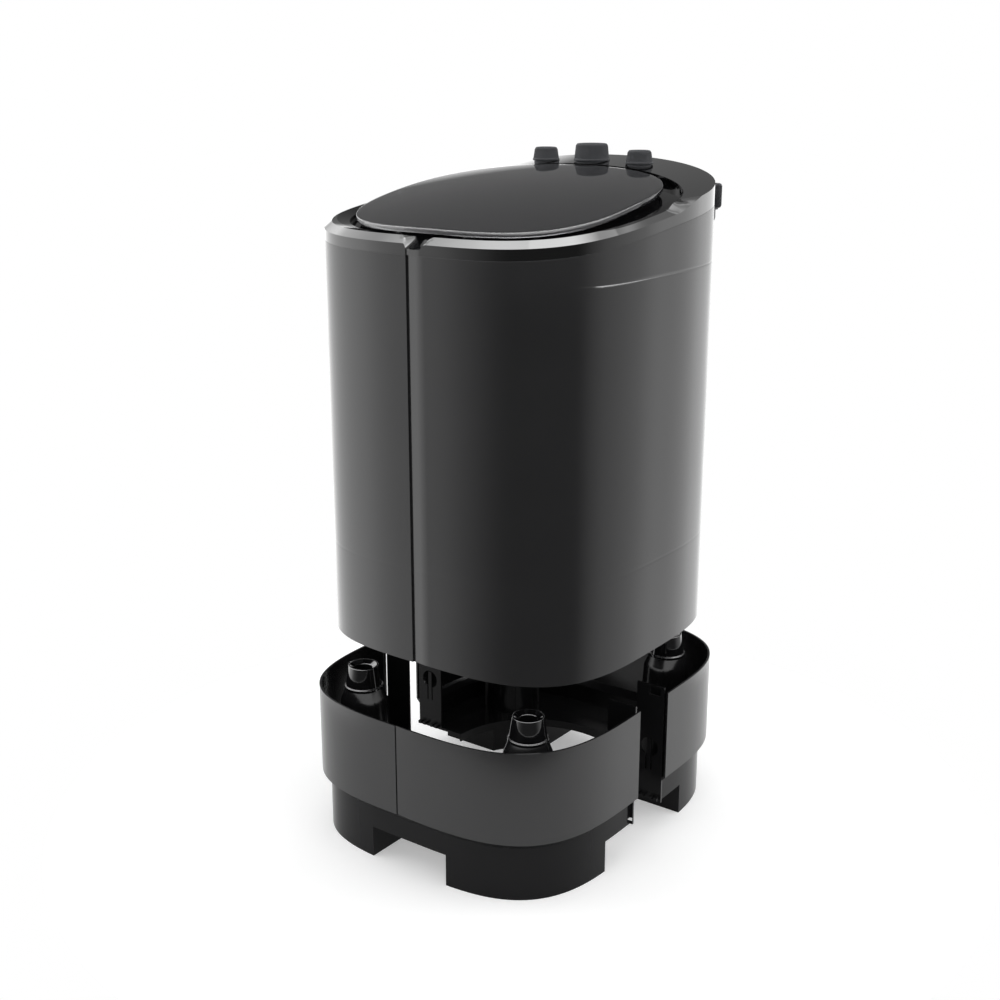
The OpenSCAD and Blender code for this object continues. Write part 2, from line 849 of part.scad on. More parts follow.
filter_w = 70;
filter_t = 18;
filter_len = 130;
filter_side = 53;
filter_x = tub_r - filter_side;
filter_y = -36;
filter_low = 350;
rail_t = 3;
rail_len = 118;
lint_slot_w = 50;
lint_slot_h = 6.5;
lint_slot_pitch = 16;
lint_slots = 6;

// Rails on the tub's wall that the filter is pushed down into
module filter_bracket() {
    color([0.75, 0.76, 0.78]) on_cabinet() intersection() {
        translate([0, filter_y, filter_low - gap]) difference() {
            translate([filter_x, -filter_w / 2 - rail_t - gap, -rail_t])
                cube([tub_r - filter_x, filter_w + 2 * rail_t + 2 * gap, rail_len]);
            translate([filter_x - over, -filter_w / 2 - gap, 0])
                cube([filter_t + over + gap, filter_w + 2 * gap, filter_len]);
            translate([filter_x + filter_t + rail_t + gap, -filter_w / 2, 0])
                cube([tub_r, filter_w, filter_len]);
        }
        cylinder(r = tub_r - gap, h = trim_h, $fn = 128);
    }
}

module lint_filter() {
    color([0.85, 0.86, 0.88]) on_cabinet()
        translate([filter_x, filter_y - filter_w / 2, filter_low]) difference() {
        cube([filter_t, filter_w, filter_len]);
        translate([rail_t, rail_t, rail_t]) cube([filter_t - 2 * rail_t, filter_w - 2 * rail_t, filter_len]);
        for (i = [1 : lint_slots])
            translate([-over, (filter_w - lint_slot_w) / 2, i * lint_slot_pitch])
            cube([rail_t + 2 * over, lint_slot_w, lint_slot_h]);
    }
}

// Bearing housing, shaft and impeller

housing_len = 118;
housing_r = 20;
housing_flange_r = 38;
housing_flange_t = 5;
housing_rib_t = 3;
housing_rib_h = 40;
housing_screw_at = 31;
bearing_r = 16;
bearing_h = 10;
seal_h = 7;
shaft_room = 3;
housing_top_h = tub_floor_h - 2 * tub_wall - gap;

module bearing_housing() {
    color([0.6, 0.61, 0.63]) on_cabinet() translate([0, 0, housing_top_h]) mirror([0, 0, 1]) difference() {
        union() {
            cylinder(r = housing_flange_r, h = housing_flange_t);
            cylinder(r = housing_r, h = housing_len);
            for (a = [0 : 60 : 300])
                rotate([0, 0, a]) translate([0, -housing_rib_t / 2, 0])
                cube([housing_flange_r - housing_rib_t / 2, housing_rib_t, housing_rib_h]);
        }
        translate([0, 0, -over]) cylinder(r = bearing_r + run_fit, h = bearing_h + seal_h + over);
        translate([0, 0, -over]) cylinder(r = shaft_r + shaft_room, h = housing_len + 2 * over);
        translate([0, 0, housing_len - bearing_h]) cylinder(r = bearing_r + run_fit, h = bearing_h + over);
        housing_screw_places() translate([0, 0, -over])
            cylinder(r = frame_screw_r, h = housing_flange_t + 2 * over);
    }
}

module housing_screw_places() {
    for (a = [30 : 60 : 330])
        rotate([0, 0, a]) translate([housing_screw_at, 0, 0]) children();
}

module housing_screws() {
    color([0.6, 0.6, 0.62]) on_cabinet() translate([0, 0, housing_top_h - housing_flange_t - gap])
        housing_screw_places() screw(frame_screw_r, housing_flange_t);
}

module shaft_bearings() {
    color([0.7, 0.7, 0.72]) on_cabinet()
        for (z = [housing_top_h - bearing_h - seal_h, housing_top_h - housing_len])
        translate([0, 0, z]) ring(bearing_r, shaft_r + run_fit, bearing_h - gap);
}

module shaft_seal() {
    color([0.1, 0.1, 0.1]) on_cabinet() translate([0, 0, housing_top_h - seal_h])
        ring(bearing_r, shaft_r + run_fit, seal_h - gap);
}

shaft_low = 14;
shaft_over_floor = 22;
shaft_tap = 12;

module impeller_shaft() {
    color([0.75, 0.75, 0.77]) on_cabinet() difference() {
        translate([0, 0, shaft_low]) cylinder(r = shaft_r, h = tub_floor_h + shaft_over_floor - shaft_low);
        translate([0, 0, tub_floor_h + shaft_over_floor - shaft_tap])
            cylinder(r = frame_screw_r, h = shaft_tap + over);
    }
}

impeller_low = 4;
impeller_rim = 6;
hub_top = 34;
hub_dome = 3;
screw_well_r = 4.8;
vane_h = 30;
vane_t = 10;
// Radius and height of the dish's steps, as shares of the impeller's radius and of its hub
dish_shares = [[0.6, 0.28], [0.3, 0.46], [0.2, 1]];
// Radius and height of a vane's corners, as shares of the impeller's radius and of the vane's height
vane_shares = [[0.1, 0], [0.15, 1], [0.55, 0.8], [0.95, 0.2]];
vane_taper_share = 0.8;

module impeller() {
    color([0.8, 0.81, 0.83]) on_cabinet() translate([0, 0, tub_floor_h + impeller_low]) difference() {
        union() {
            rotate_extrude($fn = 96) polygon(concat(
                [[0, 0], [impeller_r - impeller_rim / 2, 0], [impeller_r, impeller_rim / 2],
                 [impeller_r - impeller_rim / 2, impeller_rim]],
                [for (s = dish_shares) [impeller_r * s[0], hub_top * s[1]]],
                [[0, hub_top + hub_dome]]));
            intersection() {
                for (i = [0 : vane_count - 1])
                    rotate([0, 0, i * 360 / vane_count]) rotate([90, 0, 0]) translate([0, 0, -vane_t / 2])
                    linear_extrude(vane_t) polygon(concat(
                        [for (s = vane_shares) [impeller_r * s[0], vane_h * s[1]]],
                        [[impeller_r * vane_shares[3][0], 0]]));
                cylinder(r1 = impeller_r, r2 = impeller_r * vane_taper_share, h = hub_top + impeller_rim);
            }
        }
        translate([0, 0, -over])
            cylinder(r = shaft_r + run_fit / 2, h = shaft_over_floor - impeller_low + over + gap);
        translate([0, 0, hub_top - impeller_rim]) cylinder(r = screw_well_r, h = 3 * impeller_rim);
        translate([0, 0, -over]) cylinder(r = frame_screw_r, h = hub_top + impeller_rim);
    }
}

module impeller_screw() {
    seat = impeller_low + hub_top - impeller_rim + gap;
    color([0.75, 0.75, 0.77]) on_cabinet() translate([0, 0, tub_floor_h + seat])
        mirror([0, 0, 1]) screw(frame_screw_r, seat - shaft_over_floor + shaft_tap - over);
}

// Pulleys and belt

pulley_low = 20;
pulley_h = 18;
groove_w = 11;
groove_floor_w = 7;
groove_deep = 7;
belt_h = 7.5;
belt_in = 4;
belt_out = 2;
pulley_out = 3;
pulley_rim = 6;
pulley_hub = 12;
web_deep = 6;
web_hole_r = 15;

// Grooved pulley of pitch radius r on a shaft, as deep across its face as the groove needs
module pulley(r, bore) {
    rotate_extrude($fn = 96) polygon([[bore, 0], [r + pulley_out, 0],
        [r + pulley_out, (pulley_h - groove_w) / 2],
        [r - groove_deep, (pulley_h - groove_floor_w) / 2],
        [r - groove_deep, (pulley_h + groove_floor_w) / 2],
        [r + pulley_out, (pulley_h + groove_w) / 2], [r + pulley_out, pulley_h], [bore, pulley_h]]);
}

module drive_pulley() {
    color([0.2, 0.2, 0.21]) on_cabinet() translate([0, 0, pulley_low]) difference() {
        pulley(pulley_r, shaft_r + run_fit / 2);
        for (z = [-over, pulley_h - web_deep])
            translate([0, 0, z])
                ring(pulley_r - groove_deep - pulley_rim, shaft_r + pulley_hub, web_deep + over);
        for (a = [0 : 60 : 300])
            rotate([0, 0, a]) translate([(pulley_r - groove_deep + shaft_r) / 2, 0, -over])
            cylinder(r = web_hole_r, h = pulley_h + 2 * over);
    }
}

module pulley_nut() {
    color([0.7, 0.7, 0.72]) on_cabinet() translate([0, 0, shaft_low]) difference() {
        cylinder(r = shaft_r * 2, h = pulley_low - shaft_low - gap, $fn = 6);
        translate([0, 0, -over]) cylinder(r = shaft_r + run_fit / 2, h = pulley_low);
    }
}

module motor_pulley() {
    color([0.6, 0.6, 0.62]) on_cabinet() translate([0, motor_y, pulley_low])
        pulley(motor_pulley_r, shaft_r + run_fit / 2);
}

module loop_outline(grow) {
    hull() {
        circle(r = pulley_r + grow, $fn = 96);
        translate([0, motor_y]) circle(r = motor_pulley_r + grow, $fn = 64);
    }
}

module drive_belt() {
    color([0.05, 0.05, 0.05]) on_cabinet() translate([0, 0, pulley_low + (pulley_h - belt_h) / 2])
        linear_extrude(belt_h) difference() {
            loop_outline(belt_out);
            loop_outline(-belt_in);
        }
}

// Motor and its bracket

tub_under_h = tub_floor_h - tub_wall - gap;
bracket_drop = 11.7;
bracket_h = tub_under_h - bracket_drop;
bracket_t = 3;
bracket_half = 62;
bracket_near = 60;
bracket_boss_r = 6;
bracket_boss_x = 48;
bracket_boss_in = 12;
mount_r = 8;
mount_h = 6;
mount_x = 50;
mount_apart = 50;
motor_top = bracket_h - mount_h - gap;
motor_over_pulley = 32.7;
motor_h = motor_top - pulley_low - pulley_h - motor_over_pulley;
shield_h = 14;
shield_step = 3;
band_step = 1;
band_low = 36;
band_h = 31;
ear_t = 4;
nose_r = 18;
nose_h = 8;
vent_in = 34;
vent_len = 14;
vent_w = 4;
rotor_in = 68;

module mount_places() {
    for (x = [-mount_x, mount_x], y = [-mount_apart / 2, mount_apart / 2])
        translate([x, motor_y + y, 0]) children();
}

module bracket_boss_places() {
    for (x = [-bracket_boss_x, bracket_boss_x],
        y = [bracket_near + bracket_boss_in, motor_y + bracket_half - bracket_boss_in])
        translate([x, y, 0]) children();
}

module motor_bracket() {
    bracket_len = motor_y + bracket_half - bracket_near;
    color([0.5, 0.5, 0.52]) on_cabinet() difference() {
        union() {
            translate([-bracket_half, bracket_near, bracket_h])
                cube([2 * bracket_half, bracket_len, bracket_t]);
            for (x = [-bracket_half, bracket_half - bracket_t])
                translate([x, bracket_near, bracket_h - 2 * bracket_t])
                    cube([bracket_t, bracket_len, 3 * bracket_t]);
            bracket_boss_places() translate([0, 0, bracket_h])
                cylinder(r = bracket_boss_r, h = tub_under_h - bracket_h);
        }
        bracket_boss_places() translate([0, 0, bracket_h - over])
            cylinder(r = frame_screw_r, h = 4 * bracket_t);
    }
}

module bracket_screws() {
    color([0.6, 0.6, 0.62]) on_cabinet() bracket_boss_places() translate([0, 0, bracket_h - gap])
        screw(frame_screw_r, 3 * bracket_t);
}

module motor_mounts() {
    color([0.05, 0.05, 0.05]) on_cabinet() mount_places() translate([0, 0, motor_top + gap / 2])
        cylinder(r = mount_r, h = mount_h);
}

module motor() {
    color([0.35, 0.35, 0.37]) on_cabinet() translate([0, motor_y, motor_top - motor_h]) difference() {
        union() {
            cylinder(r = motor_r - shield_step, h = motor_h, $fn = 96);
            for (z = [0, motor_h - shield_h])
                translate([0, 0, z]) cylinder(r = motor_r, h = shield_h, $fn = 96);
            translate([0, 0, band_low]) cylinder(r = motor_r - band_step, h = band_h, $fn = 96);
            for (x = [-mount_x, mount_x])
                translate([x - mount_r, -mount_apart / 2 - mount_r, motor_h - ear_t])
                cube([2 * mount_r, mount_apart + 2 * mount_r, ear_t]);
            translate([0, 0, -nose_h]) cylinder(r = nose_r, h = nose_h + over);
        }
        translate([0, 0, -nose_h - over]) cylinder(r = shaft_r + run_fit, h = nose_h + over + rotor_in);
        for (a = [0 : 30 : 330])
            rotate([0, 0, a]) translate([vent_in, -vent_w / 2, -over]) cube([vent_len, vent_w, shield_h]);
    }
}

module motor_shaft() {
    color([0.75, 0.75, 0.77]) on_cabinet() translate([0, motor_y, shaft_low])
        cylinder(r = shaft_r, h = motor_top - motor_h + rotor_in - over - shaft_low);
}

can_r = 19;
can_h = 70;
can_drop = 85.7;
can_low = tub_under_h - can_drop;
can_apart = 49;
can_x = motor_r + can_apart;
can_y = 96;
blade_x = 6;
blade_w = 6;
blade_t = 1;
blade_len = 8;
clip_drop = 46.7;
clip_low = tub_under_h - clip_drop;
clip_h = 14;
clip_t = 2;
clip_w = 16;

module capacitor() {
    color([0.8, 0.8, 0.78]) on_cabinet() translate([can_x, can_y, can_low]) {
        cylinder(r = can_r, h = can_h);
        for (x = [-blade_x, blade_x])
            translate([x - blade_t / 2, -blade_w / 2, -blade_len]) cube([blade_t, blade_w, blade_len + over]);
    }
}

module capacitor_clip() {
    color([0.5, 0.5, 0.52]) on_cabinet() translate([can_x, can_y, 0]) {
        translate([0, 0, clip_low]) ring(can_r + gap + clip_t, can_r + gap, clip_h);
        translate([can_r + gap, -clip_w / 2, clip_low]) cube([clip_t, clip_w, tub_under_h - clip_low]);
        translate([-can_r, -clip_w / 2, tub_under_h - clip_t])
            cube([2 * can_r + gap + clip_t, clip_w, clip_t]);
    }
}

// Drain

drain_x = -95;
drain_y = 60;
drain_r = 13;
drain_bore_r = 10;
hose_h = 168;
hose_r = 16;
hose_in = 20;
elbow_flange_r = 24;
elbow_flange_t = 3;
elbow_len = 48;
hose_overlap = 20;
outlet_flange_r = 18;
outlet_flange_out = 5;
outlet_reach = 24;
outlet_lead = 1.5;
hose_clip_t = 1.5;
hose_clip_w = 8;
clip_ear_w = 12;
clip_ear_h = 8;
hose_from = drain_y + elbow_len - hose_overlap;
hose_to = cabinet_half_d - hose_in;

module drain_elbow() {
    color([0.1, 0.1, 0.11]) on_cabinet() translate([drain_x, drain_y, 0]) difference() {
        union() {
            translate([0, 0, hose_h]) cylinder(r = drain_r - gap, h = tub_floor_h - hose_h);
            translate([0, 0, tub_under_h - elbow_flange_t]) cylinder(r = elbow_flange_r, h = elbow_flange_t);
            translate([0, 0, hose_h]) sphere(r = drain_r - gap);
            translate([0, 0, hose_h]) rotate([-90, 0, 0]) cylinder(r = drain_r - gap, h = elbow_len);
        }
        translate([0, 0, hose_h]) {
            cylinder(r = drain_bore_r, h = trim_h);
            sphere(r = drain_bore_r);
            rotate([-90, 0, 0]) cylinder(r = drain_bore_r, h = trim_h);
        }
    }
}

module drain_hose() {
    color([0.15, 0.15, 0.16]) on_cabinet() translate([drain_x, hose_from, hose_h]) rotate([-90, 0, 0])
        ring(hose_r, drain_r, hose_to - hose_from);
}

module drain_outlet() {
    spigot_from = hose_to - hose_overlap;
    spigot_to = cabinet_half_d + outlet_reach - outlet_lead;
    color([0.1, 0.1, 0.11]) on_cabinet() difference() {
        union() {
            translate([drain_x, spigot_from, hose_h]) rotate([-90, 0, 0])
                cylinder(r = drain_r - gap, h = spigot_to - spigot_from + slice);
            back_flange(drain_x, hose_h, outlet_flange_r, outlet_flange_out);
            translate([drain_x, spigot_to, hose_h]) rotate([-90, 0, 0])
                cylinder(r1 = drain_r - gap, r2 = drain_r - gap - outlet_lead, h = outlet_lead);
        }
        translate([drain_x, spigot_from - over, hose_h]) rotate([-90, 0, 0])
            cylinder(r = drain_bore_r, h = trim_h);
    }
}

module drain_hole() {
    translate([drain_x, 0, hose_h]) rotate([-90, 0, 0]) cylinder(r = drain_r, h = wide);
}

module hose_clips() {
    color([0.7, 0.7, 0.72]) on_cabinet()
        for (y = [hose_from + hose_clip_w / 2, hose_to - 3 * hose_clip_w / 2])
        translate([drain_x, y, hose_h]) rotate([-90, 0, 0]) difference() {
            union() {
                cylinder(r = hose_r + gap + hose_clip_t, h = hose_clip_w);
                translate([-clip_ear_w / 2, hose_r, 0]) cube([clip_ear_w, clip_ear_h, hose_clip_w]);
            }
            translate([0, 0, -over]) cylinder(r = hose_r + gap, h = hose_clip_w + 2 * over);
        }
}

// Outer face of the cabinet's rear wall at a place across
function rear_wall_y(x) =
    cabinet_half_d * pow(1 - pow(abs(x) / cabinet_half_w, square_power), 1 / square_power);

// Round flange on the back, its inner face shaped to the curved wall
module back_flange(x, h, r, out) {
    from = rear_wall_y(abs(x) + r) - over;
    difference() {
        translate([x, from, h]) rotate([-90, 0, 0]) cylinder(r = r, h = rear_wall_y(x) + out - from);
        linear_extrude(trim_h) cabinet_outline(gap);
    }
}

// Timer, switches and knobs

unit_half_w = 24;
unit_h = 30;
unit_drop = 8;
switch_half_w = 18;
switch_h = 20;
unit_screw_in = 6;
unit_post_r = 3.5;
unit_post_drop = 1.4;
unit_screw_r = 1.5;
unit_screw_len = 11;
unit_screw_hole = 6;
knob_shaft_r = 4;
knob_shaft_room = 2;
knob_rise = 2.4;
timer_knob_h = 27;
small_knob_h = 21;
knob_skirt = 1;
knob_skirt_h = 3;
knob_taper = 3;
knob_rib = 1.2;
knob_rib_out = 2;
knob_rib_lean = 2.5;
knob_rib_short = 3;
knob_wall = 5;
dish_r = 36;
dish_deep = 2;
hollow_share = 0.3;
shaft_top_share = 0.5;

// Body of a timer or switch under the panel, with its bushing up through the panel
module control_unit(p, half_w, h) {
    base_h = dome_h(p[0], p[1], frame_wall) - unit_drop;
    translate([p[0], p[1], base_h]) difference() {
        union() {
            translate([-half_w, -half_w, -h]) cube([2 * half_w, 2 * half_w, h]);
            cylinder(r = knob_hole_r - over, h = unit_drop + frame_wall - over);
            both_sides() translate([half_w - unit_screw_in, 0, 0])
                cylinder(r = unit_post_r, h = unit_drop - unit_post_drop);
        }
        translate([0, 0, -h / 2]) cylinder(r = knob_shaft_r + run_fit, h = h + unit_drop + frame_wall);
        both_sides() translate([half_w - unit_screw_in, 0, -unit_screw_hole])
            cylinder(r = unit_screw_r, h = unit_screw_hole + unit_drop);
    }
}

// Places of the screws that hold the timer and the switches, on the dome
unit_screw_places = [for (p = knob_places, s = [-1, 1])
    [p[0] + s * ((p[0] == 0 ? unit_half_w : switch_half_w) - unit_screw_in), p[1]]];

module unit_screw_bores() {
    for (p = unit_screw_places)
        translate([p[0], p[1], dome_h(p[0], p[1]) - 2 * frame_wall])
            cylinder(r = unit_screw_r, h = 3 * frame_wall);
}

module timer_screws() {
    color([0.6, 0.6, 0.62]) on_cabinet() for (p = unit_screw_places)
        translate([p[0], p[1], dome_h(p[0], p[1]) + 2 * gap])
            mirror([0, 0, 1]) screw(unit_screw_r, unit_screw_len);
}

// Knob with a ribbed skirt and a dished top, on its own shaft down into the unit
module control_knob(p, d, h, unit_depth) {
    down = unit_drop + frame_wall + knob_rise + unit_depth / 2 - knob_shaft_room;
    translate([p[0], p[1], dome_h(p[0], p[1]) + knob_rise]) {
        difference() {
            union() {
                cylinder(r = d / 2 + knob_skirt, h = knob_skirt_h);
                cylinder(r1 = d / 2 - knob_rib / 2, r2 = d / 2 - knob_taper, h = h);
                for (a = [0 : 12 : 348])
                    rotate([0, 0, a]) translate([d / 2 - knob_rib_out, -knob_rib / 2, 0])
                    rotate([0, -atan(knob_rib_lean / h), 0])
                        cube([knob_rib_out, knob_rib, h - knob_rib_short]);
            }
            translate([0, 0, h + dish_r - dish_deep]) sphere(r = dish_r, $fn = 96);
            translate([0, 0, -over]) cylinder(r = d / 2 - knob_wall, h = h * hollow_share + over);
        }
        translate([0, 0, -down]) cylinder(r = knob_shaft_r, h = down + h * shaft_top_share);
    }
}

module timer() {
    color([0.75, 0.75, 0.72]) on_cabinet() control_unit(knob_places[1], unit_half_w, unit_h);
}

module left_switch() {
    color([0.75, 0.75, 0.72]) on_cabinet() control_unit(knob_places[0], switch_half_w, switch_h);
}

module right_switch() {
    color([0.75, 0.75, 0.72]) on_cabinet() control_unit(knob_places[2], switch_half_w, switch_h);
}

module timer_knob() {
    color([0.16, 0.17, 0.18]) on_cabinet() control_knob(knob_places[1], timer_knob_d, timer_knob_h, unit_h);
}

module left_knob() {
    color([0.16, 0.17, 0.18]) on_cabinet() control_knob(knob_places[0], small_knob_d, small_knob_h, switch_h);
}

module right_knob() {
    color([0.16, 0.17, 0.18]) on_cabinet() control_knob(knob_places[2], small_knob_d, small_knob_h, switch_h);
}

// Water inlet and cable gland on the back

inlet_side = 93;
inlet_x = base_half_w - inlet_side;
inlet_rise = 43;
inlet_nut_h = tub_rim_h + inlet_rise;
inlet_drop = 14;
inlet_r = 12;
inlet_bore_r = 8;
inlet_in = 14;
inlet_out = 41;
inlet_flange_r = 20;
inlet_flange_out = 10;
inlet_ledge_r = 16;
inlet_ledge_t = 2;
nut_r = 21;
nut_len = 38;
nut_over = 4;
nut_core = 1.5;
nut_rib_w = 3.2;
nut_rib_out = 3;
gland_side = 110;
gland_x = gland_side - base_half_w;
gland_drop = 4;
gland_h = tub_rim_h - gland_drop;
gland_r = 11;
gland_bore_r = 4;
gland_in = 8;
gland_flange = 2;
gland_out = 6;
gland_nose = 14;
gland_taper = 3;

module inlet_hole() {
    translate([inlet_x, 0, inlet_nut_h - inlet_drop]) rotate([-90, 0, 0])
        cylinder(r = inlet_r + gap, h = wide);
}

module gland_hole() {
    translate([gland_x, 0, gland_h]) rotate([-90, 0, 0]) cylinder(r = gland_r - gland_flange, h = wide);
}

// Elbow from the back wall up into the ribbed coupling nut
module water_inlet() {
    wall_y = rear_wall_y(inlet_x);
    axis_h = inlet_nut_h - inlet_drop;
    color([0.12, 0.12, 0.125]) on_cabinet() difference() {
        union() {
            translate([inlet_x, wall_y - inlet_in, axis_h]) rotate([-90, 0, 0])
                cylinder(r = inlet_r, h = inlet_out + inlet_in);
            translate([inlet_x, wall_y + inlet_out, axis_h]) {
                sphere(r = inlet_r);
                cylinder(r = inlet_r, h = inlet_drop + nut_len - nut_over);
                translate([0, 0, inlet_drop - inlet_ledge_t - gap])
                    cylinder(r = inlet_ledge_r, h = inlet_ledge_t);
            }
            back_flange(inlet_x, axis_h, inlet_flange_r, inlet_flange_out);
        }
        translate([inlet_x, wall_y - inlet_in - over, axis_h]) rotate([-90, 0, 0])
            cylinder(r = inlet_bore_r, h = inlet_out + inlet_in + over);
        translate([inlet_x, wall_y + inlet_out, axis_h]) {
            sphere(r = inlet_bore_r);
            cylinder(r = inlet_bore_r, h = trim_h);
        }
    }
}

module inlet_nut() {
    color([0.16, 0.17, 0.18]) on_cabinet()
        translate([inlet_x, rear_wall_y(inlet_x) + inlet_out, inlet_nut_h]) difference() {
        union() {
            cylinder(r = nut_r - nut_core, h = nut_len);
            for (a = [0 : 20 : 340])
                rotate([0, 0, a]) translate([nut_r - nut_rib_out, -nut_rib_w / 2, 0])
                    cube([nut_rib_out, nut_rib_w, nut_len]);
        }
        translate([0, 0, -over]) cylinder(r = inlet_r + run_fit, h = nut_len + 2 * over);
    }
}

module cable_gland() {
    wall_y = rear_wall_y(gland_x);
    color([0.05, 0.05, 0.05]) on_cabinet() difference() {
        union() {
            back_flange(gland_x, gland_h, gland_r + gland_flange, gland_out);
            translate([gland_x, wall_y - gland_in, gland_h]) rotate([-90, 0, 0])
                cylinder(r = gland_r - gland_flange - gap, h = gland_in + gland_out - over);
            translate([gland_x, wall_y + gland_out - over, gland_h]) rotate([-90, 0, 0])
                cylinder(r1 = gland_r, r2 = gland_r - gland_taper, h = gland_nose);
        }
        translate([gland_x, wall_y - gland_in - over, gland_h]) rotate([-90, 0, 0])
            cylinder(r = gland_bore_r, h = gland_in + gland_out + gland_nose + over);
    }
}

base_rear();
rear_post_caps();
base_front();
front_post_caps();
cabinet_shell();
top_collar();
collar_screws();
top_frame();
tub();
tub_screws();
filter_bracket();
lint_filter();
bearing_housing();
housing_screws();
shaft_bearings();
shaft_seal();
impeller();
impeller_screw();
impeller_shaft();
drive_pulley();
pulley_nut();
drive_belt();
motor_bracket();
bracket_screws();
motor_mounts();
motor();
motor_shaft();
motor_pulley();
capacitor();
capacitor_clip();
drain_elbow();
drain_hose();
drain_outlet();
hose_clips();
timer();
timer_screws();
timer_knob();
left_switch();
left_knob();
right_switch();
right_knob();
lid();
hinge_pins();
water_inlet();
inlet_nut();
cable_gland();
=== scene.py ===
import json
import math

import bmesh
import bpy
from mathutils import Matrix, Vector

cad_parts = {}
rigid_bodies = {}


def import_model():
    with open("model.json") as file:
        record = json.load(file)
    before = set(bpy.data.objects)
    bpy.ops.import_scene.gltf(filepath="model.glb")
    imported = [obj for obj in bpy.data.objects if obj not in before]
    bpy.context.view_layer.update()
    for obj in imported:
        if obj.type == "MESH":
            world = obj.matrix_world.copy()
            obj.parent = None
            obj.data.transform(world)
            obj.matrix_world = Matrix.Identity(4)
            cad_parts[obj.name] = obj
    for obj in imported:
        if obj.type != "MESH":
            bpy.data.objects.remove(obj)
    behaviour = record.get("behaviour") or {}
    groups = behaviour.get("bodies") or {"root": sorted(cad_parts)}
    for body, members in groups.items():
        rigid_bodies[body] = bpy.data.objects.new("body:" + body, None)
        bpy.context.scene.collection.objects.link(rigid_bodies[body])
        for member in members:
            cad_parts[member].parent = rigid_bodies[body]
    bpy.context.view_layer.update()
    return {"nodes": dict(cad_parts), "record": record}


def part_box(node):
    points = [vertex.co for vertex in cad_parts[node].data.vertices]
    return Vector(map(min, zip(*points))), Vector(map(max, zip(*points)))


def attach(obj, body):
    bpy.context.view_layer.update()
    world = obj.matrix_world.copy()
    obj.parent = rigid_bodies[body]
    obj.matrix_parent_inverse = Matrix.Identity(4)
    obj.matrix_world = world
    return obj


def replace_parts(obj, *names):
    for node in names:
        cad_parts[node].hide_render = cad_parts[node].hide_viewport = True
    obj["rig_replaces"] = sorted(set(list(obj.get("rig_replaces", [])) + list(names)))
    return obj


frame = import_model()

# Studio. A white floor that keeps the machine's shadow and a white surround. Only gloss mirrors
# the surround's tones: walls pale on the left and behind and dark in front and on the right, under
# a bright ceiling that fades behind. Each tone stands against its direction, 0 being the front.
FLOOR_RADIUS = 0.78
FLOOR_STEPS = 96
FLOOR_PALE = (0.86, 0.86, 0.86, 1)
FLOOR_LIFT = 0.32
SOFT_LEVEL, SHOWN_LEVEL = 0.72, 1.0
CLIMB_Z = (0.04, 0.2)
STEEP_Z = (0.85, 0.96)
CEILING_TONES = [(-180, 0.2), (-128, 0.24), (-114, 2.0), (-103, 3.7), (-97, 3.0), (-90, 3.0), (-82, 2.7),
                 (-76, 5.6), (-70, 7.3), (-64, 8.2), (100, 8.2), (124, 6.5), (140, 3.8), (152, 1.9),
                 (158, 1.5), (162, 1.7), (165, 2.3), (168, 0.8), (174, 0.7), (180, 0.2)]
ZENITH_TONE = 8.2
WALL_TONES = [(-180, 1.6), (-130, 1.9), (-62, 2.0), (-52, 1.9), (-46, 1.5), (-40, 1.05), (-30, 0.6),
              (-19, 0.36), (-8, 0.2), (4, 0.13), (84, 0.13), (92, 0.22), (104, 0.5), (118, 0.75),
              (146, 0.88), (152, 1.3), (162, 1.9), (180, 1.6)]


def new_material(name):
    material = bpy.data.materials.new(name)
    material.use_nodes = True
    nodes = material.node_tree.nodes
    return material, nodes, material.node_tree.links, nodes["Principled BSDF"]


def stage_object(name, bm):
    mesh = bpy.data.meshes.new(name)
    bm.to_mesh(mesh)
    bm.free()
    piece = bpy.data.objects.new(name, mesh)
    bpy.context.scene.collection.objects.link(piece)
    return piece


bm = bmesh.new()
bmesh.ops.create_circle(bm, cap_ends=True, segments=FLOOR_STEPS, radius=FLOOR_RADIUS)
floor = stage_object("studio_floor", bm)
floor_white, nodes, links, shader = new_material("floor_white")
shader.inputs["Base Color"].default_value = FLOOR_PALE
shader.inputs["Roughness"].default_value = 0.9
shader.inputs["Specular IOR Level"].default_value = 0.1
glow = nodes.new("ShaderNodeEmission")
lift = nodes.new("ShaderNodeMath")
lift.operation = "MULTIPLY"
lift.inputs[1].default_value = FLOOR_LIFT
path = nodes.new("ShaderNodeLightPath")
glossy = nodes.new("ShaderNodeMath")
glossy.operation = "MAXIMUM"
links.new(path.outputs["Is Glossy Ray"], glossy.inputs[0])
links.new(path.outputs["Is Transmission Ray"], glossy.inputs[1])
shown = nodes.new("ShaderNodeMath")
shown.operation = "MAXIMUM"
links.new(path.outputs["Is Camera Ray"], shown.inputs[0])
links.new(glossy.outputs[0], shown.inputs[1])
links.new(shown.outputs[0], lift.inputs[0])
links.new(lift.outputs[0], glow.inputs["Strength"])
both = nodes.new("ShaderNodeAddShader")
links.new(shader.outputs[0], both.inputs[0])
links.new(glow.outputs[0], both.inputs[1])
links.new(both.outputs[0], nodes["Material Output"].inputs["Surface"])
floor.data.materials.append(floor_white)

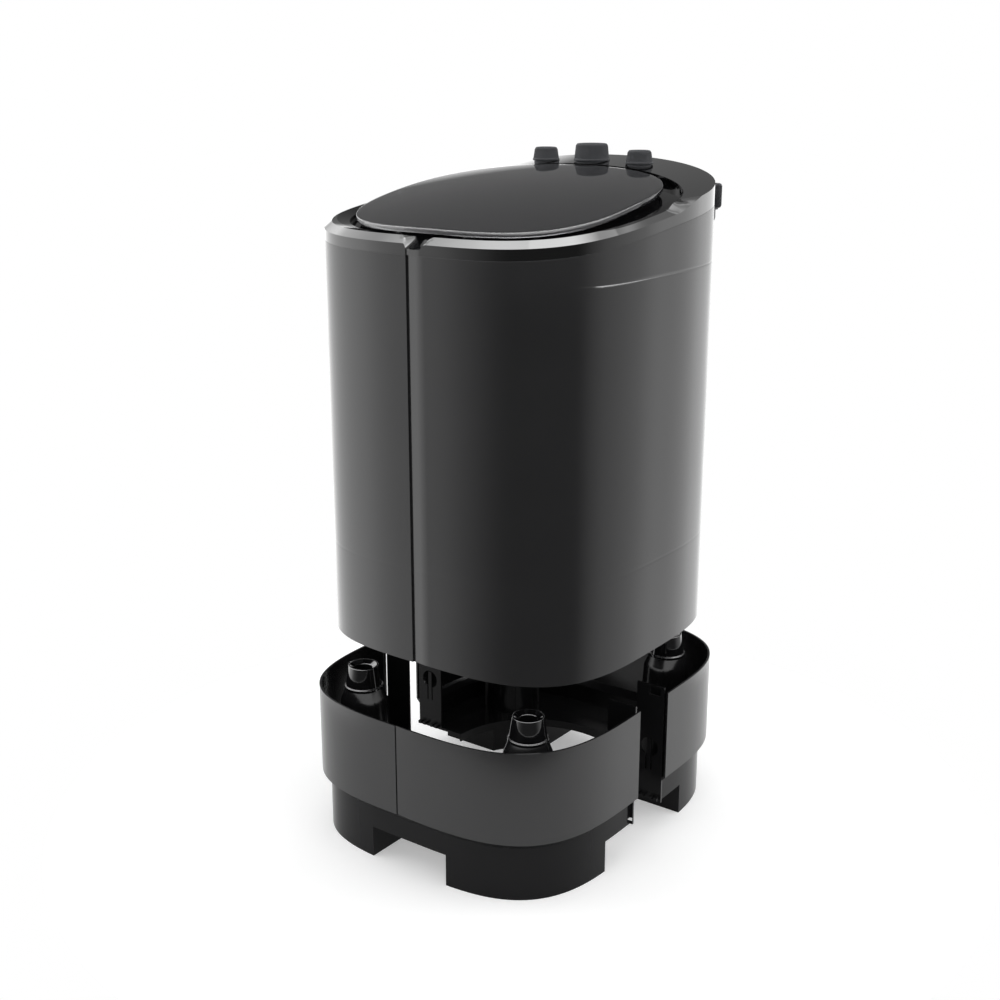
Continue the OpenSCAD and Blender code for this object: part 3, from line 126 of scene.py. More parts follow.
world = bpy.data.worlds.new("surround")
bpy.context.scene.world = world
world.use_nodes = True
nodes, links = world.node_tree.nodes, world.node_tree.links
path = nodes.new("ShaderNodeLightPath")
shown = nodes.new("ShaderNodeMath")
shown.operation = "MAXIMUM"
links.new(path.outputs["Is Camera Ray"], shown.inputs[0])
links.new(path.outputs["Is Transmission Ray"], shown.inputs[1])
level = nodes.new("ShaderNodeMapRange")
level.inputs["To Min"].default_value = SOFT_LEVEL
level.inputs["To Max"].default_value = SHOWN_LEVEL
links.new(shown.outputs[0], level.inputs["Value"])
coords = nodes.new("ShaderNodeTexCoord")
split = nodes.new("ShaderNodeSeparateXYZ")
links.new(coords.outputs["Generated"], split.inputs[0])
ahead = nodes.new("ShaderNodeMath")
ahead.operation = "MULTIPLY"
ahead.inputs[1].default_value = -1
links.new(split.outputs["Y"], ahead.inputs[0])
turn = nodes.new("ShaderNodeMath")
turn.operation = "ARCTAN2"
links.new(split.outputs["X"], turn.inputs[0])
links.new(ahead.outputs[0], turn.inputs[1])
span = nodes.new("ShaderNodeMapRange")
span.inputs["From Min"].default_value = -math.pi
span.inputs["From Max"].default_value = math.pi
links.new(turn.outputs[0], span.inputs["Value"])
levels = []
for stops in (WALL_TONES, CEILING_TONES):
    tones = nodes.new("ShaderNodeValToRGB")
    ramp = tones.color_ramp.elements
    brightest = max(tone for _, tone in stops)
    for end in (0, -1):
        ramp[end].color = (*[stops[end][1] / brightest] * 3, 1)
    for azimuth, tone in stops[1:-1]:
        ramp.new((azimuth + 180) / 360).color = (*[tone / brightest] * 3, 1)
    links.new(span.outputs[0], tones.inputs[0])
    raised = nodes.new("ShaderNodeMath")
    raised.operation = "MULTIPLY"
    raised.inputs[1].default_value = brightest
    links.new(tones.outputs[0], raised.inputs[0])
    levels.append(raised)
climb = nodes.new("ShaderNodeMapRange")
climb.inputs["From Min"].default_value, climb.inputs["From Max"].default_value = CLIMB_Z
links.new(split.outputs["Z"], climb.inputs["Value"])
around = nodes.new("ShaderNodeMix")
links.new(climb.outputs[0], around.inputs["Factor"])
links.new(levels[0].outputs[0], around.inputs["A"])
links.new(levels[1].outputs[0], around.inputs["B"])
steep = nodes.new("ShaderNodeMapRange")
steep.inputs["From Min"].default_value, steep.inputs["From Max"].default_value = STEEP_Z
links.new(split.outputs["Z"], steep.inputs["Value"])
overhead = nodes.new("ShaderNodeMix")
links.new(steep.outputs[0], overhead.inputs["Factor"])
links.new(around.outputs["Result"], overhead.inputs["A"])
overhead.inputs["B"].default_value = ZENITH_TONE
chosen = nodes.new("ShaderNodeMix")
links.new(path.outputs["Is Glossy Ray"], chosen.inputs["Factor"])
links.new(level.outputs[0], chosen.inputs["A"])
links.new(overhead.outputs["Result"], chosen.inputs["B"])
links.new(chosen.outputs["Result"], nodes["Background"].inputs["Strength"])
nodes["Background"].inputs["Color"].default_value = (1, 1, 1, 1)

LAMPS = (("left_box", (-2.6, -1.2, 1.7), (2.4, 1.6), 22.0),
         ("right_box", (2.4, 1.6, 1.9), (2.2, 1.4), 20.0),
         ("top_box", (0.2, 0.5, 3.0), (2.0, 2.0), 16.0))
LAMP_AIM = Vector((0, 0, 0.6))
for name, place, size, power in LAMPS:
    lamp = bpy.data.lights.new(name, "AREA")
    lamp.shape = "RECTANGLE"
    lamp.size, lamp.size_y = size
    lamp.energy = power
    lamp_object = bpy.data.objects.new(name, lamp)
    lamp_object.location = place
    lamp_object.rotation_euler = (LAMP_AIM - Vector(place)).to_track_quat("-Z", "Y").to_euler()
    lamp_object.visible_camera = False
    bpy.context.scene.collection.objects.link(lamp_object)

CAMERA_PLACE = (1.28830, -1.80201, 1.18951)
CAMERA_AIM = Vector((-0.56883, 0.77155, -0.28485))
camera_data = bpy.data.cameras.new("camera")
camera_data.lens = 51.70
camera_data.sensor_width = 36.0
camera = bpy.data.objects.new("camera", camera_data)
camera.location = CAMERA_PLACE
camera.rotation_euler = CAMERA_AIM.to_track_quat("-Z", "Y").to_euler()
bpy.context.scene.collection.objects.link(camera)
bpy.context.scene.camera = camera
bpy.context.scene.view_settings.view_transform = "Standard"

# Cabinet skin. One tall tube moulded in black ABS, a rounded square in plan, with a ramp-shaped
# channel down its front and a fine parting line low on its sides.
CABINET_Z = 0.336
CABINET_HALF = (0.2564, 0.2604)
CABINET_POWER = 3.4
CABINET_WALL = 0.0025
SKIN_EDGE = 0.0001
SIDE_SEAM_Z = CABINET_Z + 0.577
SEAM_Z = CABINET_Z + 0.6415
SEAM_RISE = math.tan(math.radians(6.67))
COLLAR_Y = -0.196
CHANNEL_HALF = 0.012
CHANNEL_DEPTH = 0.003
PARTING_Z = 0.4825
PARTING = ((-0.0040, 0.0), (-0.0009, 0.0), (-0.0003, 0.00007), (0.0003, 0.00007), (0.0009, 0.0), (0.0040, 0.0))
SIDE_SEAM = ((-0.0040, 0.0), (-0.0011, 0.0), (0.0, 0.0005), (0.0003, 0.0005), (0.0014, 0.0), (0.0040, 0.0))
SIDE_SEAM_FROM_Y = COLLAR_Y + 0.035
SEAM_GAP = 0.0003
OUTLINE_STEPS = 240


def rounded_square(angle, half_w, half_d, power, centre_y=0.0):
    c, s = math.cos(angle), math.sin(angle)
    reach = (abs(c / half_w) ** power + abs(s / half_d) ** power) ** (-1 / power)
    return reach * c, centre_y + reach * s


def seam_plane_z(y):
    return SEAM_Z + SEAM_RISE * y


def ring_of(bm, places):
    """A closed loop of edges that starts as a circle and is moved to its places."""
    made = bmesh.ops.create_circle(bm, segments=len(places), radius=1.0)["verts"]
    for v, place in zip(made, places):
        v.co = place
    return list(made)


def loft(bm, rings):
    """Skins a row of closed loops, one after another."""
    loops = [ring_of(bm, places) for places in rings]
    for low, high in zip(loops, loops[1:]):
        edges = [bm.edges.get((a, b)) for ring in (low, high) for a, b in zip(ring, ring[1:] + ring[:1])]
        bmesh.ops.bridge_loops(bm, edges=edges)
    return loops


def finished(name, bm, body, material, replaced=(), sharp=32.0):
    """Makes the piece, smooth but for edges sharper than the angle, and says what it rides on."""
    bmesh.ops.remove_doubles(bm, verts=bm.verts, dist=1e-7)
    bmesh.ops.recalc_face_normals(bm, faces=bm.faces)
    for face in bm.faces:
        face.smooth = True
    for edge in bm.edges:
        edge.smooth = len(edge.link_faces) != 2 or edge.calc_face_angle(0.0) < math.radians(sharp)
    mesh = bpy.data.meshes.new(name)
    bm.to_mesh(mesh)
    bm.free()
    mesh.materials.append(material)
    piece = bpy.data.objects.new(name, mesh)
    bpy.context.scene.collection.objects.link(piece)
    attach(piece, body)
    if replaced:
        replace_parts(piece, *replaced)
    return piece


def walled(piece, thickness, edge):
    """Gives the skin its wall, inwards, and softens its edges."""
    wall = piece.modifiers.new("wall", "SOLIDIFY")
    wall.thickness = thickness
    wall.offset = -1.0
    wall.use_even_offset = True
    rounded(piece, edge)


def rounded(piece, width):
    """Softens edges sharper than 40 degrees."""
    soft = piece.modifiers.new("soft_edges", "BEVEL")
    soft.width = width
    soft.segments = 2
    soft.limit_method = "ANGLE"
    soft.angle_limit = math.radians(40.0)
    soft.harden_normals = True


def moulded(name, colour, rough, grain=0.04, grain_size=900.0, wave=0.02, coat=0.0):
    """Moulded plastic: faint flow marks in its gloss and a fine grain in its surface."""
    material, nodes, links, shader = new_material(name)
    shader.inputs["Base Color"].default_value = (*colour, 1)
    shader.inputs["IOR"].default_value = 1.52
    shader.inputs["Coat Weight"].default_value = coat
    shader.inputs["Coat Roughness"].default_value = 0.03
    coords = nodes.new("ShaderNodeTexCoord")
    flow = nodes.new("ShaderNodeTexNoise")
    flow.inputs["Scale"].default_value = 9.0
    flow.inputs["Detail"].default_value = 6.0
    links.new(coords.outputs["Object"], flow.inputs["Vector"])
    gloss = nodes.new("ShaderNodeMapRange")
    gloss.inputs["From Min"].default_value = 0.3
    gloss.inputs["From Max"].default_value = 0.7
    gloss.inputs["To Min"].default_value = rough * 0.88
    gloss.inputs["To Max"].default_value = rough * 1.15
    links.new(flow.outputs["Fac"], gloss.inputs["Value"])
    links.new(gloss.outputs[0], shader.inputs["Roughness"])
    fine = nodes.new("ShaderNodeTexNoise")
    fine.inputs["Scale"].default_value = grain_size
    fine.inputs["Detail"].default_value = 3.0
    links.new(coords.outputs["Object"], fine.inputs["Vector"])
    bump = nodes.new("ShaderNodeBump")
    bump.inputs["Strength"].default_value = grain
    bump.inputs["Distance"].default_value = 0.0002
    links.new(fine.outputs["Fac"], bump.inputs["Height"])
    long_bump = nodes.new("ShaderNodeBump")
    long_bump.inputs["Strength"].default_value = wave
    long_bump.inputs["Distance"].default_value = 0.002
    links.new(flow.outputs["Fac"], long_bump.inputs["Height"])
    links.new(bump.outputs["Normal"], long_bump.inputs["Normal"])
    links.new(long_bump.outputs["Normal"], shader.inputs["Normal"])
    return material


def cabinet_places(z_of, inset=0.0):
    """The cabinet's outline, its five corners at the front moved into the channel."""
    half, depth = CHANNEL_HALF, CHANNEL_DEPTH
    channel = ((-half, 0), (-half, depth), (-half / 3, depth * 2 / 3), (half / 3, depth / 3), (half, 0))
    places = []
    for i in range(OUTLINE_STEPS):
        x, y = rounded_square(math.tau * i / OUTLINE_STEPS - math.pi / 2, CABINET_HALF[0] - inset,
                              CABINET_HALF[1] - inset, CABINET_POWER)
        nearest = i if i < OUTLINE_STEPS / 2 else i - OUTLINE_STEPS
        if abs(nearest) <= 2:
            x, deeper = channel[nearest + 2]
            y += deeper
        places.append((x, y, z_of(y)))
    return places


def chamfered(z, inset):
    """The outline at the side seam, drawn in only where the collar is."""
    outer, inner = cabinet_places(lambda y: z), cabinet_places(lambda y: z, inset)
    return [b if a[1] > SIDE_SEAM_FROM_Y else a for a, b in zip(outer, inner)]


def cabinet_skin(low_z, parting):
    """The skin from a height up to the top frame's seam, with or without the low parting line."""
    bm = bmesh.new()
    rings = [cabinet_places(lambda y: low_z)]
    if parting:
        for up, inset in PARTING:
            rings.append(cabinet_places(lambda y, up=up: PARTING_Z + up, inset))
    for up, inset in SIDE_SEAM:
        rings.append(chamfered(SIDE_SEAM_Z + up, inset))
    rings.append(cabinet_places(lambda y: seam_plane_z(y) - SEAM_GAP))
    loft(bm, rings)
    return bm


cabinet_black = moulded("cabinet_black", (0.0135, 0.0135, 0.014), 0.17, grain=0.03)


def split_at_collar(bm, y, z, keep_collar):
    """Cuts the skin along the collar's edges and keeps one side of them."""
    for co, no in (((0, y, 0), (0, 1, 0)), ((0, 0, z), (0, 0, 1))):
        bmesh.ops.bisect_plane(bm, geom=bm.verts[:] + bm.edges[:] + bm.faces[:], plane_co=co, plane_no=no)
    middles = [(f, f.calc_center_median()) for f in bm.faces]
    away = [f for f, middle in middles if (middle.y > COLLAR_Y and middle.z > SIDE_SEAM_Z) != keep_collar]
    bmesh.ops.delete(bm, geom=away, context="FACES")


bm = cabinet_skin(CABINET_Z, True)
split_at_collar(bm, COLLAR_Y, SIDE_SEAM_Z, False)
cabinet = finished("cabinet_skin", bm, "cabinet", cabinet_black, ("cabinet_shell",))
walled(cabinet, CABINET_WALL, SKIN_EDGE)

# Rear collar. The part of the cabinet above its side seam, a separate moulding pushed in from
# the back and held by four screws from inside.
COLLAR_GAP_Y, COLLAR_GAP_Z = 0.00003, 0.0003
COLLAR_CUT = 0.002
bm = cabinet_skin(SIDE_SEAM_Z - COLLAR_CUT, False)
split_at_collar(bm, COLLAR_Y + COLLAR_GAP_Y, SIDE_SEAM_Z + COLLAR_GAP_Z, True)
collar = finished("collar_skin", bm, "cabinet", cabinet_black, ("top_collar",))
walled(collar, CABINET_WALL, SKIN_EDGE)

# Top frame. Moulded in high-gloss black ABS: a band on the tilted seam, a bright bevel with a
# finger notch at the front, a groove round the lid, and behind it the panel for the knobs.
CROWN_R = 1.884
CROWN_TOP_Z = CABINET_Z + 0.7196
CROWN_Y = 0.302
BAND_H = 0.016
BEVEL_H = 0.009
BEVEL_IN = 0.010
PANEL_TOP_Z = CABINET_Z + 0.6983
PANEL_SLOPE = 0.1043
PANEL_BOW = 0.4256
FACET_FROM_Y, CREASE_Y, FACET_TO_Y = 0.035, 0.070, 0.101
LID_HALF = (0.222, 0.190)
LID_Y = -0.034
LID_POWER = 2.7
RECESS_W = 0.009
RECESS_DEPTH = 0.016
GROOVE_HALF = (0.248, 0.199)
GROOVE_POWER = 3.1
GROOVE_FALL = 0.005
MOUTH_HALF = (0.184, 0.148)
MOUTH_Y = -0.036
MOUTH_POWER = 2.5
SKIRT_Z = CABINET_Z + 0.596
FRAME_WALL = 0.003
HINGE_Y, HINGE_Z = 0.152, 1.04046
HINGE_XS = (-0.090, 0.090)
HINGE_STEPS = 12
ARM_HALF, ARM_R = 0.007, 0.0055
BLOCK_W, BLOCK_R, BLOCK_GAP, BLOCK_SUNK = 0.008, 0.0052, 0.0005, 0.001
FRAME_EDGE, MOUNT_EDGE = 0.0005, 0.0004
BAND_CHANNEL = 0.0015
FACET_EASE = 0.012
REAR_FALL, REAR_FALL_FROM_Y, REAR_FALL_TO_Y = 0.02, -0.09, 0.06
WALL_STEPS = ((0.0003, 0.2), (0.0006, 0.7), (0.0024, 1.0))
MOUTH_LIP = 0.002
BEVEL_STEPS, PANEL_STEPS, GROOVE_STEPS, FLOOR_RINGS = 4, 6, 6, 5
FRONT_Y = -0.258
NOTCH = [(-0.0250, 0.0252), (-0.0227, 0.0246), (-0.0204, 0.0234), (-0.0180, 0.0212), (-0.0158, 0.0180),
         (-0.0139, 0.0145), (-0.0124, 0.0110), (-0.0112, 0.0080), (0.0, 0.0080), (0.0128, 0.0090),
         (0.0142, 0.0100), (0.0268, 0.0232), (0.0285, 0.0244), (0.0310, 0.0252)]


def crown_z(x, y):
    return CROWN_TOP_Z - CROWN_R + math.sqrt(CROWN_R ** 2 - x * x - (y - CROWN_Y) ** 2)


def panel_z(x, y):
    return PANEL_TOP_Z + PANEL_SLOPE * y - PANEL_BOW * x * x


def eased(value, start, end):
    t = min(max((value - start) / (end - start), 0.0), 1.0)
    return t * t * (3 - 2 * t)


def notch_height(x):
    """Height of the notch's outline over the seam, at the front face."""
    for (x0, h0), (x1, h1) in zip(NOTCH, NOTCH[1:]):
        if x0 <= x <= x1:
            return h0 + (h1 - h0) * (x - x0) / (x1 - x0)
    return 1.0


def frame_column(angle):
    """Places from the seam over the frame and down into the mouth, at one direction."""
    outer = rounded_square(angle, *CABINET_HALF, CABINET_POWER)
    inner = rounded_square(angle, LID_HALF[0] + RECESS_W, LID_HALF[1] + RECESS_W, LID_POWER, LID_Y)

    def at(share):
        return outer[0] + (inner[0] - outer[0]) * share, outer[1] + (inner[1] - outer[1]) * share

    def share_within(half_w, half_d, power, centre_y=0.0):
        """How far inwards the column meets an outline."""
        low, high = 0.0, 1.0
        for _ in range(30):
            share = (low + high) / 2
            x, y = at(share)
            within = abs(x / half_w) ** power + abs((y - centre_y) / half_d) ** power < 1
            low, high = (low, share) if within else (share, high)
        return high

    bevel_share = share_within(CABINET_HALF[0] - BEVEL_IN, CABINET_HALF[1] - BEVEL_IN, CABINET_POWER)
    groove_share = share_within(*GROOVE_HALF, GROOVE_POWER, LID_Y)
    back = eased(outer[1], FACET_FROM_Y - FACET_EASE, FACET_FROM_Y + FACET_EASE)
    past = min(max((outer[1] - FACET_FROM_Y) / (FACET_TO_Y - FACET_FROM_Y), 0.0), 1.0)
    closing = min(max((outer[1] - CREASE_Y) / (FACET_TO_Y - CREASE_Y), 0.0), 1.0)
    crease = (bevel_share + (groove_share - bevel_share) * back) * (1 - closing)
    wall = groove_share if outer[1] > CREASE_Y else crease
    low_h = BAND_H + (panel_z(*outer) - seam_plane_z(outer[1]) - BAND_H) * past

    def top_z(x, y):
        plane = seam_plane_z(y) + BAND_H + BEVEL_H
        return plane + (panel_z(x, y) - plane) * back

    def floor_z(share):
        x, y = at(share)
        fall = GROOVE_FALL * (share - wall) / max(1 - wall, 0.01)
        fall += REAR_FALL * eased(outer[1], REAR_FALL_FROM_Y, REAR_FALL_TO_Y)
        return min(top_z(x, y), max(seam_plane_z(y) + BAND_H + BEVEL_H - fall, crown_z(x, y) - RECESS_DEPTH))

    seam = seam_plane_z(outer[1])
    column = [(*outer, seam), (*outer, seam + low_h / 2), (*outer, seam + low_h)]
    end_z = top_z(*at(crease)) if crease > 0 else seam + low_h
    for k in range(1, BEVEL_STEPS + 1):
        up = low_h + (end_z - seam - low_h) * k / BEVEL_STEPS
        column.append((*at(crease * k / BEVEL_STEPS), seam + up))
    for k in range(1, PANEL_STEPS + 1):
        share = crease + (wall - crease) * k / PANEL_STEPS
        column.append((*at(share), top_z(*at(share))))
    for k in range(GROOVE_STEPS + 1):
        share = wall + (1 - wall) * k / GROOVE_STEPS
        column.append((*at(share), floor_z(share)))
    edge_z = column[-1][2]
    deep = edge_z - (crown_z(*inner) - RECESS_DEPTH)
    for inward, down in WALL_STEPS:
        x, y = rounded_square(angle, LID_HALF[0] + RECESS_W - inward, LID_HALF[1] + RECESS_W - inward,
                              LID_POWER, LID_Y)
        column.append((x, y, edge_z - deep * down))
    if outer[1] < 0:
        low = seam + notch_height(outer[0])
        in_channel = abs(outer[0]) <= CHANNEL_HALF
        step = BAND_CHANNEL * (CHANNEL_HALF - outer[0]) / (2 * CHANNEL_HALF) if in_channel else 0
        column = [(x, y + (step if y < FRONT_Y else 0), min(z, low)) for x, y, z in column]
    mx, my = rounded_square(angle, *MOUTH_HALF, MOUTH_POWER, MOUTH_Y)
    for k in range(1, FLOOR_RINGS + 1):
        bx, by = x + (mx - x) * k / FLOOR_RINGS, y + (my - y) * k / FLOOR_RINGS
        column.append((bx, by, crown_z(bx, by) - RECESS_DEPTH))
    column.append((mx, my, crown_z(mx, my) - RECESS_DEPTH - MOUTH_LIP))
    column.append((mx, my, SKIRT_Z))
    return column


def side_angle(y):
    """Direction in which the outline on the right has this y."""
    low, high = -math.pi / 2, math.pi / 2
    for _ in range(40):
        angle = (low + high) / 2
        beyond = rounded_square(angle, *CABINET_HALF, CABINET_POWER)[1] > y
        low, high = (low, angle) if beyond else (angle, high)
    return high


def hinge_bar(bm, low_x, high_x, radius, foot):
    """A rounded bar along the hinge's axis, its sides running straight to the foot's height."""
    profile = [(HINGE_Y + radius, foot)]
    turn = 1 if foot < HINGE_Z else -1
    for k in range(HINGE_STEPS + 1):
        a = math.pi * k / HINGE_STEPS
        profile.append((HINGE_Y + radius * math.cos(a), HINGE_Z + turn * radius * math.sin(a)))
    profile.append((HINGE_Y - radius, foot))
    for loop in loft(bm, [[(x, y, z) for y, z in profile] for x in (low_x, high_x)]):
        bmesh.ops.contextual_create(bm, geom=loop)


# The columns stand evenly, but for closer ones at the notch and along the facet.
NOTCH_SPREAD = 0.13
NOTCH_MORE_X = (-0.0335, -0.0290, -0.01205, -0.006, 0.006, 0.01195, 0.0190, 0.0240, 0.0345)
FACET_MORE_Y = (-0.06, -0.02, 0.02, 0.03, 0.042, 0.05, 0.06, 0.0697, 0.0703, 0.08, 0.09, 0.1007, 0.1013)
frame_angles = [math.tau * i / OUTLINE_STEPS - math.pi / 2 for i in range(OUTLINE_STEPS)]
frame_angles = [a for a in frame_angles if math.cos(a + math.pi / 2) < math.cos(NOTCH_SPREAD)]
for x in [x for x, _ in NOTCH] + list(NOTCH_MORE_X):
    frame_angles.append(-math.pi / 2 + math.atan(x / CABINET_HALF[1]))
for y in FACET_MORE_Y:
    frame_angles += [side_angle(y), math.pi - side_angle(y)]
frame_angles = sorted(frame_angles)
bm = bmesh.new()
columns = [frame_column(angle) for angle in frame_angles]
loft(bm, [[column[k] for column in columns] for k in range(len(columns[0]))])


def inside_outline(material, half, centre, power, limit):
    """1 where a point's plan lies within the outline, else 0, from Object coordinates."""
    nodes, links = material.node_tree.nodes, material.node_tree.links
    coords = nodes.new("ShaderNodeTexCoord")
    split = nodes.new("ShaderNodeSeparateXYZ")
    links.new(coords.outputs["Object"], split.inputs[0])
    total = nodes.new("ShaderNodeMath")
    for k, axis in enumerate("XY"):
        value = split.outputs[axis]
        for operation, number in (("SUBTRACT", centre[k]), ("DIVIDE", half[k]), ("ABSOLUTE", 0),
                                  ("POWER", power)):
            step = nodes.new("ShaderNodeMath")
            step.operation = operation
            step.inputs[1].default_value = number
            links.new(value, step.inputs[0])
            value = step.outputs[0]
        links.new(value, total.inputs[k])
    within = nodes.new("ShaderNodeMath")
    within.operation = "LESS_THAN"
    within.inputs[1].default_value = limit
    links.new(total.outputs[0], within.inputs[0])
    return within.outputs[0]


def painted_shade_dimming(material, painted_shade_mask, changes):
    """Gives the shader's values another level where the painted_shade_mask is 1; both uses weaken a reflection
    to paint shade there.
    """
    nodes, links = material.node_tree.nodes, material.node_tree.links
    for name, plain, dull in changes:
        value = nodes.new("ShaderNodeMapRange")
        value.inputs["To Min"].default_value = plain
        value.inputs["To Max"].default_value = dull
        links.new(painted_shade_mask, value.inputs["Value"])
        links.new(value.outputs[0], nodes["Principled BSDF"].inputs[name])


frame_gloss = moulded("frame_gloss", (0.002, 0.002, 0.0022), 0.055, grain=0.015, coat=0.4)
# Within the groove's edge the plastic reflects less and has no coat: painted shade that darkens the groove.
GROOVE_EDGE = 0.0004
painted_shade_mask = inside_outline(frame_gloss, (GROOVE_HALF[0] + GROOVE_EDGE, GROOVE_HALF[1] + GROOVE_EDGE),
                      (0.0, LID_Y), GROOVE_POWER, 1.0)
painted_shade_dimming(frame_gloss, painted_shade_mask, (("Specular IOR Level", 0.5, 0.12), ("Coat Weight", 0.4, 0.0)))
top_frame = finished("frame_crown", bm, "cabinet", frame_gloss, ("top_frame",), sharp=24.0)
walled(top_frame, FRAME_WALL, FRAME_EDGE)
top_frame.modifiers["wall"].use_even_offset = False

# Hinge blocks. Two lugs beside each arm of the lid, moulded on the floor of the recess.
bm = bmesh.new()
for x in HINGE_XS:
    for side in (-1, 1):
        near, far = x + side * (ARM_HALF + BLOCK_GAP), x + side * (ARM_HALF + BLOCK_GAP + BLOCK_W)
        hinge_bar(bm, min(near, far), max(near, far), BLOCK_R, crown_z(x, HINGE_Y) - RECESS_DEPTH - BLOCK_SUNK)
mounts = finished("frame_mounts", bm, "cabinet", frame_gloss, ())
rounded(mounts, MOUNT_EDGE)

# Lid. A shallow smoked panel, vacuum-polished, with a rolled rim that drops into the recess and
# two arms for its hinge pins.
LID_LIFT = 0.0005
LID_WALL = 0.003
LID_RIM = 0.007
FOOT_R, FOOT_EDGE, FOOT_ROOM = 0.004, 0.0008, 0.0004
SUNK = 0.0005
FOOT_PLACES = ((-0.060, -0.216), (0.060, -0.216))
RIM_PROFILE = ((0.0025, LID_RIM), (0.0, LID_RIM), (0.0, 0.0013), (0.0002, 0.0006), (0.0006, 0.0002),
               (0.0013, 0.0))
UNDER_PROFILE = ((0.0035, LID_WALL), (0.0025, LID_RIM))
DOME_SHARES = (0.97, 0.93, 0.85, 0.75, 0.62, 0.48, 0.34, 0.2, 0.08)


def lid_ring(half_w, half_d, power, drop):
    places = [rounded_square(a, half_w, half_d, power, LID_Y) for a in frame_angles]
    return [(x, y, crown_z(x, y) + LID_LIFT - drop) for x, y in places]


def rim_ring(inset, drop):
    """A ring of the lid near its rim, a step inwards and down."""
    return lid_ring(LID_HALF[0] - inset, LID_HALF[1] - inset, LID_POWER, drop)


def dome_ring(share, drop):
    """A ring of the lid's panel, rounder towards the middle."""
    return lid_ring(LID_HALF[0] * share, LID_HALF[1] * share, LID_POWER * share + 2 * (1 - share), drop)


bm = bmesh.new()
loops = loft(bm, [rim_ring(inset, drop) for inset, drop in RIM_PROFILE]
             + [dome_ring(share, 0.0) for share in DOME_SHARES])
bmesh.ops.contextual_create(bm, geom=loops[-1])
loops = loft(bm, [dome_ring(share, LID_WALL) for share in reversed(DOME_SHARES)]
             + [rim_ring(inset, drop) for inset, drop in UNDER_PROFILE])
bmesh.ops.contextual_create(bm, geom=loops[0])
for x in HINGE_XS:
    hinge_bar(bm, x - ARM_HALF, x + ARM_HALF, ARM_R, crown_z(x, HINGE_Y) + LID_LIFT - LID_WALL + SUNK)
for x, y in FOOT_PLACES:
    top, low = crown_z(x, y) + LID_LIFT - LID_WALL + SUNK, crown_z(x, y) - RECESS_DEPTH + FOOT_ROOM
    rings = []
    for reach, z in ((FOOT_R, top), (FOOT_R, low + FOOT_EDGE), (FOOT_R - FOOT_EDGE, low)):
        rings.append([(x + reach * math.cos(math.tau * k / 32), y + reach * math.sin(math.tau * k / 32), z)
                      for k in range(32)])
    loops = loft(bm, rings)
    bmesh.ops.contextual_create(bm, geom=loops[0])
    bmesh.ops.contextual_create(bm, geom=loops[-1])
lid_smoke, nodes, links, shader = new_material("lid_smoke")
shader.inputs["Base Color"].default_value = (0.10, 0.10, 0.105, 1)
shader.inputs["Transmission Weight"].default_value = 0.82
shader.inputs["Roughness"].default_value = 0.04
shader.inputs["IOR"].default_value = 1.49
coords = nodes.new("ShaderNodeTexCoord")
haze = nodes.new("ShaderNodeTexNoise")
haze.inputs["Scale"].default_value = 14.0
links.new(coords.outputs["Object"], haze.inputs["Vector"])
bump = nodes.new("ShaderNodeBump")
bump.inputs["Strength"].default_value = 0.03
bump.inputs["Distance"].default_value = 0.002
links.new(haze.outputs["Fac"], bump.inputs["Height"])
links.new(bump.outputs["Normal"], shader.inputs["Normal"])
finished("lid_panel", bm, "lid", lid_smoke, ("lid",))

# Knobs. Ribbed grips in dark grey with a dished top, the timer's large one between the two small
# ones of the switches. Each stands on a low round boss, which lifts it clear of the panel.
KNOB_Y = 0.194
KNOB_RISE = 0.0024
KNOBS = (("timer_grip", "timer_knob", 0.0, 0.028, 0.027, 90),
         ("left_grip", "left_knob", -0.089, 0.021, 0.021, 72),
         ("right_grip", "right_knob", 0.089, 0.021, 0.021, 72))
BOSS_IN, BOSS_H, BOSS_EDGE, BOSS_GAP, BOSS_STEPS = 0.0015, 0.012, 0.0006, 0.0004, 96
RIB = 0.00045
knob_grey = moulded("knob_grey", (0.042, 0.043, 0.046), 0.45, grain=0.12, grain_size=1400.0)
knob_grey.node_tree.nodes["Principled BSDF"].inputs["Specular IOR Level"].default_value = 0.05


def turned_ring(x, y, z, reach, steps, ridge=0.0, valley=0.0):
    """A ring round an upright axis, with two steps of each four on a rib."""
    ring = []
    for k in range(steps):
        a = math.tau * k / steps
        r = reach + (ridge if k % 4 in (0, 1) else -valley)
        ring.append((x + r * math.cos(a), y + r * math.sin(a), z))
    return ring


